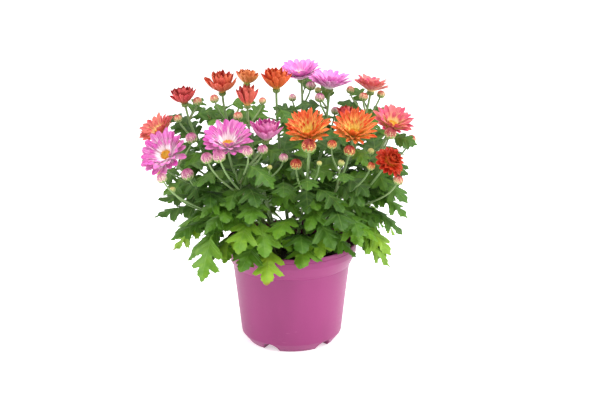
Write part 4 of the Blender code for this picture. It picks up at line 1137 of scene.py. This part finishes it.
def add_leaf(piece, shape, draw):
    """One leaf, from its stalk's root to its tip, as a thin slab of rows that hang from the rib."""
    fine = shape.blade > FINE_BLADE
    stalk = np.zeros((PETIOLE_ROWS, 4))
    stalk[:, 0] = stalk[:, 2] = np.linspace(shape.root, 0.0, PETIOLE_ROWS + 1)[:-1]
    stalk_width = PETIOLE_HALF / shape.blade
    stalk[:, 1] = stalk_width
    rows = np.concatenate((stalk, leaf_edge(2 if fine else 1)))
    columns = np.array(FINE_COLUMNS if fine else COARSE_COLUMNS)
    out = np.abs(columns)[None, :]
    hand = np.where(columns < 0, -1.0, 1.0)[None, :]
    u, v, rib, vein = (rows[:, channel, None] for channel in range(4))
    v = np.maximum(v, 0.5 * stalk_width)
    uneven = np.where(columns < 0, draw.uniform(*LEAF_UNEVEN), draw.uniform(*LEAF_UNEVEN))[None, :]
    along = rib + (u - rib) * out
    width = v * out * np.where(rib > BLADE_FROM, uneven, 1.0)
    scale = shape.blade / LOW_BLADE
    lobe = np.clip(vein, 0, 1)
    relief = PUCKER * scale * (0.5 - lobe) * np.sin(math.pi * np.sqrt(out)) * (rib > 0)
    phase, rate = draw.uniform(0, math.tau), draw.uniform(*WAVE_RATES)
    swing = np.sin(phase + rate * math.pi * rib + WAVE_SHIFT * hand)
    wave = EDGE_WAVE * scale * swing * out**2 * (v > WAVE_FROM)
    level = relief + wave - LOBE_CURL * shape.blade * out**3 * v * lobe
    stalky = np.clip(1 - u / STALKY_UP_TO, 0, 1)
    thin = BLADE_HALF * (1 - BLADE_THINS * out**2)
    near_rib = np.clip(1 - out / RIB_SPREAD, 0, 1) * (1 - RIB_THINS * np.clip(rib, 0, 1))
    round_part = stalky * np.maximum(PETIOLE_HALF * np.sqrt(np.clip(1 - out**2, 0, 1)), thin)
    above = (1 - stalky) * (thin + RIB_TOP * near_rib) + round_part
    under = (1 - stalky) * (thin + RIB_BELOW * near_rib) + round_part
    hands = np.broadcast_to(hand, along.shape)
    top = shape.points(along, width, hands, level + above)
    below = shape.points(along, width, hands, level - under)
    age = np.clip((OLD_BELOW - shape.spine[-1][2]) / OLD_SPAN, 0.0, 1.0)
    tone = YOUNG_TONE + AGE_TONE * age**AGE_POWER + draw.uniform(-TONE_SPREAD, TONE_SPREAD)
    side_vein = np.clip((vein - SIDE_VEIN_FROM) * SIDE_VEIN_GAIN, 0, 1) ** SIDE_VEIN_POWER
    veins = np.maximum(np.clip(1 - out / RIB_VEIN, 0, 1), side_vein * (1 - SIDE_VEIN_FADE * out))
    marks = marks_for(along.shape, np.clip(along, 0, 1), veins, 1.0, np.clip(tone, *TONE_RANGE))
    piece.add_slab(top, below, marks, marks * (1, 1, 0, 1))


# Stems, bracts and buds


def ball_patch(radius, bottom, top, turn, half_turn, rows, columns, lift, lap, point):
    """A strip on a ball, from one angle above its lowest point to another, narrowing by point."""
    t = np.linspace(0, 1, rows)[:, None]
    s = np.linspace(-1, 1, columns)[None, :]
    polar = bottom + (top - bottom) * t * (1 - point[1] * s**2)
    wide = half_turn * np.interp(t, (0.0, SCALE_WIDEST, 1.0), (SCALE_FOOT, 1.0, point[0]))
    angle = turn - wide * s
    reach = radius + lift * (SCALE_FOOT_LIFT + (1 - SCALE_FOOT_LIFT) * t) + lap * s
    flat = np.sin(polar) * reach
    points = np.stack((flat * np.cos(angle), flat * np.sin(angle), -np.cos(polar) * reach), -1)
    return points, t, 0.5 + 0.5 * s


def add_scales(piece, matrix, radius, squash, rings, thickness, kind, draw, grid=(4, 3), ripe=1.0):
    """Rings of overlapping scales on a ball: (count, bottom, top, lift, lap, (tip width, round))."""
    for count, bottom, top, lift, lap, point in rings:
        start = draw.uniform(0, math.tau)
        for index in range(count):
            turn = start + math.tau * (index + draw.uniform(*SCALE_SHIFT)) / count
            end = bottom + (top - bottom) * draw.uniform(*SCALE_REACH)
            place = (radius, bottom, end, turn, SCALE_OVERLAP * math.pi / count, *grid)
            outer, t, s = ball_patch(*place, lift, lap, point)
            inner, _, _ = ball_patch(*place, lift - thickness, lap, point)
            marks = marks_for(outer.shape[:2], t, s, ripe, draw.uniform(0, 1))
            outer, inner = (placed(matrix, side * (1, 1, squash)) for side in (outer, inner))
            piece.add_slab(outer, inner, marks, marks, kind)


def add_ball(piece, matrix, radius, squash, marks, kind, top):
    """A closed ball under the scales, cut off at its top angle."""
    polar = np.linspace(BALL_BOTTOM, top, BALL_LEVELS)
    profile = np.stack((radius * np.sin(polar), -radius * squash * np.cos(polar)), -1)
    piece.add_tube(placed(matrix, turned_rings(profile, BALL_SIDES)), marks, kind)


def add_calyx(piece, matrix, radius, draw):
    """The green cup under a bloom: a bowl clad in two rings of bracts."""
    bowl = matrix @ Matrix.Translation((0, 0, CALYX_UP))
    add_ball(piece, bowl, radius, 1.0, (0.4, 0.5, 1.0, 0.5), 1, 0.5 * math.pi)
    add_scales(piece, bowl, radius, 1.0, CALYX_RINGS, CALYX_SCALE, 1, draw)


def bud_rings(rings, radius):
    """A bud's rings of scales at its own size."""
    return [(*head, lift * radius, lap * radius, tip) for *head, lift, lap, tip in rings]


def add_bud(green, petals, place, radius, draw):
    """A round bud: closed petals that meet at its crown, held in two rings of bracts."""
    matrix = bloom_frame(place, bud_facing(place))
    closed = bud_rings(BUD_PETAL_RINGS, radius)
    bracts = bud_rings(BUD_BRACT_RINGS, radius)
    kind = 0
    if radius < SMALL_BUD:
        closed[0] = (SMALL_BUD_PETALS, *closed[0][1:])
        kind = 1
    ball = (BUD_BALL * radius, BUD_BALL_SQUASH, (0.5, 0.0, 1.0, 0.5), kind, BUD_BALL_TOP)
    add_ball(petals, matrix, *ball)
    ripe = np.clip((radius - RIPE_SMALLEST) / (RIPE_LARGEST - RIPE_SMALLEST), 0.0, 1.0)
    ripe *= draw.uniform(*RIPENESS)
    look = (BUD_PETAL * radius, kind, draw, BUD_PETAL_GRID, ripe)
    add_scales(petals, matrix, radius, BUD_SQUASH, closed, *look)
    add_scales(green, matrix, radius, BUD_SQUASH, bracts, BUD_BRACT * radius, 1, draw)


def add_stem(piece, controls, looks, draw):
    """A tapered, ridged tube along a stem's or stalk's curve."""
    reach, rows, sides, radii = looks
    shares = np.linspace(0, reach, rows)
    path = [bezier(controls, t) for t in shares]
    wobble = 1 + STEM_WOBBLE * np.array([draw.uniform(-1, 1) for _ in shares])
    rings = sweep(path, np.interp(shares, (0, 1), radii) * wobble, sides)
    marks = marks_for(rings.shape[:2], shares[:, None], 0.0, 1.0, draw.uniform(0, 1))
    piece.add_tube(rings, marks, 2)


def add_shoot(shoot, materials, room):
    """One shoot: a piece of stems, bracts and leaves, and a piece of bud petals."""
    family = shoot.split("_")[0]
    draw = random.Random(shoot + " looks")
    green = Piece(shoot + "_greenery", [materials[name] for name in ("leaf", "bract", "stem")])
    buds = Piece(shoot + "_bud_petals", [materials["bud_" + family], materials["bud_small"]])
    controls = stem_controls(shoot)
    foot = controls[0]
    below = Vector((foot.x, foot.y, SOIL_TOP - STEM_SUNK))
    base = sweep((below, foot.lerp(below, 0.5), foot), (STEM_RADIUS,) * 3, MAIN_STEM[2])
    green.add_tube(base, (0.0, 0.0, 1.0, 0.5), 2)
    add_stem(green, controls, MAIN_STEM, draw)
    for order, (_, _, form, place, facing, _) in enumerate(blooms_of(shoot)):
        if order:
            add_stem(green, stalk_controls(shoot, place, facing), BLOOM_STALK, draw)
        add_calyx(green, bloom_frame(place, facing), FORMS[form]["cup"] + CALYX_OUT, draw)
    for place, radius in buds_of(shoot):
        add_stem(green, stalk_controls(shoot, place, bud_facing(place)), BUD_STALK, draw)
        add_bud(green, buds, place, radius, draw)
    for shape in shoot_leaves(shoot) + small_leaves(shoot, room):
        add_leaf(green, shape, draw)
    green.build("leaf", shoot + "_shoot")
    if buds.count:
        buds.build(family)


# Blooms


def petal_spine(root, rise, length, t):
    """Radius, height and slope along a petal that bends evenly from its base to its tip."""
    bend = rise[1] - rise[0]
    if abs(bend) < LEAST_BEND:
        bend = LEAST_BEND
    slope = rise[0] + bend * t
    radius = root[0] + length * (np.sin(slope) - math.sin(rise[0])) / bend
    height = root[1] - length * (np.cos(slope) - math.cos(rise[0])) / bend
    return radius, height, slope


def add_petal(piece, matrix, root, rise, length, half_width, turn, section, lean, tone):
    """One petal: curled across, grooved along, blunt and notched at its tip."""
    curl, roundness, notch, tip = section
    t = 1 - (1 - np.linspace(0, 1, PETAL_ROWS)[:, None]) ** PETAL_CROWDING
    s = np.linspace(-1, 1, PETAL_COLUMNS)[None, :]
    notches = notch * (0.5 - 0.5 * np.cos(PETAL_TEETH * math.pi * s)) * t**4
    reach = t * (1 - roundness * np.abs(s) ** PETAL_BLUNTNESS - notches)
    radius, height, slope = petal_spine(root, rise, length, reach)
    shares, widths = np.transpose((*PETAL_PROFILE, (1.0, tip)))
    wide = half_width * np.interp(t, shares, widths)
    flat = wide * np.sin(curl * s) / curl
    groove = PETAL_GROOVE * np.cos(3 * math.pi * s) * np.sin(math.pi * t)
    raised = wide * (1 - np.cos(curl * s)) / curl + groove
    across = flat * math.cos(lean) - raised * math.sin(lean)
    lift = flat * math.sin(lean) + raised * math.cos(lean)
    out = np.array((math.cos(turn), math.sin(turn), 0.0))
    side = np.array((math.sin(turn), -math.cos(turn), 0.0))
    axis = np.array((0.0, 0.0, 1.0))
    up = -np.sin(slope)[..., None] * out + np.cos(slope)[..., None] * axis
    middle = radius[..., None] * out + height[..., None] * axis + across[..., None] * side
    half = PETAL_HALF * (1 - PETAL_EDGE_THINS * s**2) * (1 - PETAL_TIP_THINS * t)
    top = placed(matrix, middle + (lift + half)[..., None] * up)
    below = placed(matrix, middle + (lift - half)[..., None] * up)
    marks = marks_for(top.shape[:2], reach, 0.5 + 0.5 * s, 1.0, tone)
    piece.add_slab(top, below, marks, marks * (1, 1, 0, 1))


def add_receptacle(piece, matrix, form):
    """The closed core that the petals grow from."""
    profile = [(CORE_FOOT * FORMS[form]["cup"], 0.0)]
    profile += [(radius + CORE_OUT, height) for *_, radius, height in FORMS[form]["layers"]]
    profile.append((CORE_TOP * profile[-1][0], FORMS[form]["disc_height"] + CORE_UP))
    piece.add_tube(placed(matrix, turned_rings(profile, CORE_SIDES)), (0.0, 0.5, 1.0, 0.3))


def add_bloom(bloom, materials):
    """The petals of one bloom, and its disc of florets where it is open."""
    name, _, form, place, facing, radius = bloom
    draw = random.Random(name + " looks")
    family = name.split("_")[0]
    look = BLOOM_LOOKS.get(name, FAMILY_LOOKS[family])
    matrix = bloom_frame(place, facing) @ Matrix.Translation((0, 0, SEAT_GAP))
    piece = Piece(name + "_ray_petals", [materials["petal_" + look]])
    add_receptacle(piece, matrix, form)
    section = FORMS[form]["section"]
    start = random.Random(name).uniform(0, math.tau)
    for order, (count, base, tip, reach, width, *root) in enumerate(FORMS[form]["layers"]):
        for index in range(count):
            turn = start + math.tau * (index + 0.5 * order + draw.uniform(*PETAL_SHIFT)) / count
            lift = draw.uniform(*PETAL_TILT)
            bend = draw.uniform(*PETAL_BEND)
            rise = (math.radians(base + lift), math.radians(tip + lift + bend))
            length = reach * radius * draw.uniform(*PETAL_LENGTH)
            half_width = 0.5 * width * draw.uniform(*PETAL_WIDTH)
            seat = (PETAL_ROOT * root[0], root[1])
            lean = math.radians(draw.uniform(*PETAL_LEAN))
            tone = draw.uniform(0, 1)
            add_petal(piece, matrix, seat, rise, length, half_width, turn, section, lean, tone)
    piece.build(family, name + "_petals")
    if FORMS[form]["disc"]:
        add_florets(name, form, matrix, materials, draw)


def add_florets(name, form, matrix, materials, draw):
    """A dome packed with tiny tubular florets, in a spiral from the middle out."""
    piece = Piece(name + "_florets", [materials["disc"]])
    radius = FORMS[form]["disc"]
    seat = matrix @ Matrix.Translation((0, 0, FORMS[form]["disc_height"]))
    polar = np.linspace(0.5 * math.pi, DOME_TOP, DOME_LEVELS)
    dome = np.stack((DOME_SHARE * radius * np.sin(polar), DOME_HEIGHT * np.cos(polar)), -1)
    piece.add_tube(placed(seat, turned_rings(dome, DOME_SIDES)), (0.0, 0.6, 1.0, 0.2))
    widths, bases, rises, colour_marks = np.transpose(FLORET_ROWS)
    for index in range(FLORETS):
        share = math.sqrt((index + FLORET_FIRST) / FLORETS)
        turn = index * LEAF_TURN
        level = DOME_HEIGHT * math.cos(math.asin(DOME_SHARE * share))
        place = reaching(turn, 0.0, FLORET_SHARE * radius * share) + Vector((0, 0, level))
        lean = reaching(turn, 0.0, FLORET_LEAN * share) + Vector((0, 0, 1))
        tall = draw.uniform(*FLORET_UNEVEN) * (FLORET_INNER + FLORET_GAIN * share)
        rings = turned_rings(np.stack((widths, bases + rises * tall), -1), FLORET_SIDES)
        marks = marks_for(rings.shape[:2], colour_marks[:, None], share, 1.0, draw.uniform(0, 1))
        piece.add_tube(placed(seat @ bloom_frame(place, lean), rings), marks)
    piece.build("disc", name + "_disc")


# Pot and soil


def pot_profiles():
    """The outside and the cavity as (radius, height), each from its top down to the axis again."""
    top, foot, over = POT_HEIGHT, FOOT_RADIUS, POT_HEIGHT + 0.010
    outside = (
        (0.0, top),
        (LIP_RADIUS - 0.0006, top),
        (LIP_RADIUS - 0.0002, top - 0.0002),
        (LIP_RADIUS, top - 0.0006),
        (LIP_RADIUS, top - 0.0034),
        (LIP_RADIUS - 0.00022, top - 0.0037),
        (LIP_RADIUS - 0.00022, top - 0.0041),
        (LIP_RADIUS, top - 0.0044),
        (LIP_RADIUS, top - LIP_STRAIGHT),
        (LIP_RADIUS - 0.0004, top - LIP_STRAIGHT - 0.0010),
        (SHOULDER_RADIUS + 0.0013, LIP_BOTTOM + 0.0012),
        (SHOULDER_RADIUS + 0.0008, LIP_BOTTOM + 0.0006),
        (SHOULDER_RADIUS + 0.0001, LIP_BOTTOM - 0.0002),
        (SHOULDER_RADIUS, LIP_BOTTOM - 0.0012),
        (CHAMFER_TOP_RADIUS + 0.00025, CHAMFER_TOP + 0.0015),
        (CHAMFER_TOP_RADIUS, CHAMFER_TOP),
        (CHAMFER_TOP_RADIUS - 0.0003, CHAMFER_TOP - 0.0006),
        (foot, 0.0003),
        (foot - 0.0006, 0.0),
        (0.0, 0.0),
    )
    cavity = (
        (0.0, over),
        (LIP_RADIUS - WALL + 0.0003, over),
        (LIP_RADIUS - WALL + 0.0003, top),
        (LIP_RADIUS - WALL, top - 0.0004),
        (LIP_RADIUS - WALL, top - LIP_STRAIGHT),
        (SHOULDER_RADIUS - WALL, LIP_BOTTOM - 0.0012),
        (CHAMFER_TOP_RADIUS - WALL, CHAMFER_TOP + 0.0004),
        (foot + 0.0012 - WALL, WALL),
        (0.0, WALL),
    )
    return outside, cavity


def object_from(name, bm):
    mesh = bpy.data.meshes.new(name)
    bm.to_mesh(mesh)
    bm.free()
    return add_object(name, mesh)


def cylinders(name, places, radius, depth, sides):
    """A cutter made of closed cylinders of one size."""
    bm = bmesh.new()
    size = {"segments": sides, "radius1": radius, "radius2": radius, "depth": depth}
    for place in places:
        bmesh.ops.create_cone(bm, cap_ends=True, matrix=place, **size)
    return object_from(name, bm)


def channel_cylinders(name, clearance):
    """The drainage channels, wider and longer by a clearance."""
    near = CHANNEL_START - clearance
    middle = Matrix.Translation((0.5 * (near + CHANNEL_END), 0, 0))
    lying = middle @ Matrix.Rotation(math.radians(90), 4, "Y")
    places = [Matrix.Rotation(turn, 4, "Z") @ lying for turn in CHANNEL_TURNS]
    return cylinders(name, places, CHANNEL_RADIUS + clearance, CHANNEL_END - near, CHANNEL_SIDES)


def turned_object(name, profile):
    """A profile of (radius, height) turned round the z axis."""
    bm = bmesh.new()
    corners = [bm.verts.new((radius, 0.0, height)) for radius, height in profile]
    for first, second in zip(corners, corners[1:]):
        bm.edges.new((first, second))
    obj = object_from(name, bm)
    screw = obj.modifiers.new("Screw", "SCREW")
    screw.steps = POT_SIDES
    screw.render_steps = POT_SIDES
    screw.use_merge_vertices = True
    screw.merge_threshold = 0.00005
    return obj


def cut(obj, *cutters):
    for cutter in cutters:
        modifier = obj.modifiers.new(cutter.name, "BOOLEAN")
        modifier.operation = "DIFFERENCE"
        modifier.object = cutter


def add_pot(materials):
    """The moulded shell, with a hood inside over each drainage channel."""
    outside_profile, cavity_profile = pot_profiles()
    outside = turned_object("outside", outside_profile)
    cavity = turned_object("cavity", cavity_profile)
    hoods = channel_cylinders("hoods", WALL)
    channels = channel_cylinders("channels", 0.0)
    roof = Vector((0, 0, CHANNEL_RADIUS))
    places = [Matrix.Translation(reaching(turn, 0.0, DRAIN_FROM_AXIS) + roof) for turn in CHANNEL_TURNS]
    drains = cylinders("drains", places, DRAIN_RADIUS, DRAIN_DEPTH, DRAIN_SIDES)
    cut(cavity, hoods)
    cut(outside, cavity, channels, drains)
    bpy.context.view_layer.update()
    graph = bpy.context.evaluated_depsgraph_get()
    mesh = bpy.data.meshes.new_from_object(outside.evaluated_get(graph))
    for obj in (outside, cavity, hoods, channels, drains):
        bpy.data.objects.remove(obj, do_unlink=True)
    heights = np.array([vertex.co.z for vertex in mesh.vertices])
    marks = marks_for(heights.shape, heights / POT_HEIGHT, 0.0, 1.0, 0.5)
    dress(mesh, [materials["pot"]], marks, POT_CREASE)
    settle(add_object("pot_shell", mesh), "pot", "pot")


def crust_height(x, y):
    """Height of the soil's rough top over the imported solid."""
    coarse = noise.fractal(Vector((x, y, 0.3)) * COARSE_SCALE, *COARSE_FRACTAL)
    broad = noise.noise(Vector((x, y, 2.0)) * BROAD_SCALE)
    return max(CRUST_MEAN + COARSE_HEIGHT * coarse + BROAD_HEIGHT * broad, CRUST_LEAST)


def crumb_ball():
    """Points and faces of a round ball, for the crumbs."""
    bm = bmesh.new()
    bmesh.ops.create_icosphere(bm, subdivisions=2, radius=1.0)
    points = np.array([tuple(vertex.co) for vertex in bm.verts])
    faces = [tuple(vertex.index for vertex in face.verts) for face in bm.faces]
    bm.free()
    return points, faces


def add_soil(materials):
    """The packed soil keeps its solid, under a rough crust with loose crumbs."""
    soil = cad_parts["soil"]
    soil.data.materials.clear()
    soil.data.materials.append(materials["soil"])
    piece = Piece("soil_crust", [materials["soil"]])
    marks = (0.5, 0.5, 1.0, 0.5)
    shares = np.linspace(1.0, CRUST_CENTRE, CRUST_ROWS)
    profile = [(SOIL_EDGE * share, SOIL_TOP) for share in shares]
    rings = turned_rings([(SOIL_EDGE, SOIL_TOP - CRUST_SUNK), *profile], CRUST_SIDES)
    for point in rings[1:].reshape(-1, 3):
        point[2] += crust_height(point[0], point[1])
    piece.add_tube(rings, marks)
    draw = random.Random("crumbs")
    ball, faces = crumb_ball()
    for _ in range(SOIL_CRUMBS):
        size = CRUMB_LEAST + CRUMB_GAIN * draw.random() ** 3
        out = (SOIL_EDGE - CRUMB_INSET) * math.sqrt(draw.random())
        turn = draw.uniform(0, math.tau)
        seed = Vector((draw.uniform(0, 100), 0, 0))
        lumps = [noise.noise(Vector(point) * CRUMB_LUMPS + seed) for point in ball]
        swell = 1 + CRUMB_SWELL * np.array(lumps)
        stretch = np.array([draw.uniform(*limits) for limits in CRUMB_STRETCH])
        level = SOIL_TOP + CRUMB_LIFT + CRUMB_PROUD * size
        centre = (out * math.cos(turn), out * math.sin(turn), level)
        piece.add(size * ball * swell[:, None] * stretch + centre, marks, faces)
    piece.build("soil", crease=180)


# Stage


def add_stage():
    """A pale floor, soft light from all round and a broad key light from the upper right."""
    mesh = bpy.data.meshes.new("floor")
    corners = [(x * FLOOR_HALF, y * FLOOR_HALF, 0) for x, y in ((-1, -1), (1, -1), (1, 1), (-1, 1))]
    mesh.from_pydata(corners, [], [(0, 1, 2, 3)])
    shade = Shade("floor", 0.9)
    shade.plug(shade.shader["Emission Color"], (1.0, 1.0, 1.0))
    shade.plug(shade.shader["Emission Strength"], FLOOR_GLOW)
    grain = shade.noise(3.0, 2.0)
    mesh.materials.append(shade.finish(shade.mix(grain, (0.90, 0.90, 0.90), (0.93, 0.93, 0.93))))
    floor = add_object("floor", mesh)
    world = bpy.data.worlds.new("studio")
    world.use_nodes = True
    background = world.node_tree.nodes["Background"].inputs
    background["Color"].default_value = (1.0, 1.0, 1.0, 1.0)
    background["Strength"].default_value = SKY_LIGHT
    bpy.context.scene.world = world
    for name, place, width, power in LAMPS:
        data = bpy.data.lights.new(name, "AREA")
        data.size = width
        data.energy = power
        lamp = add_object(name, data)
        lamp.location = place
        lamp.rotation_euler = (Vector(LAMP_AIM) - Vector(place)).to_track_quat("-Z", "Y").to_euler()


def add_camera():
    data = bpy.data.cameras.new("camera")
    data.lens = CAMERA_LENS
    data.sensor_width = CAMERA_SENSOR
    camera = add_object("camera", data)
    camera.location = CAMERA_PLACE
    camera.rotation_euler = (math.radians(90) - CAMERA_PITCH, 0.0, 0.0)
    bpy.context.scene.camera = camera


def build():
    bpy.context.scene.view_settings.view_transform = "Standard"
    materials = {
        "leaf": leaf_material(),
        "stem": stem_material(),
        "bract": bract_material(),
        "disc": disc_material(),
        "pot": pot_material(),
        "soil": soil_material(),
    }
    for look in PETAL_LOOKS:
        materials["petal_" + look] = petal_material(look)
    for family in BUD_LOOKS:
        materials["bud_" + family] = bud_material(family)
    add_pot(materials)
    add_soil(materials)
    room = Room()
    for shoot in SHOOTS:
        add_shoot(shoot, materials, room)
    for bloom in BLOOMS:
        add_bloom(bloom, materials)
    add_stage()
    add_camera()


build()
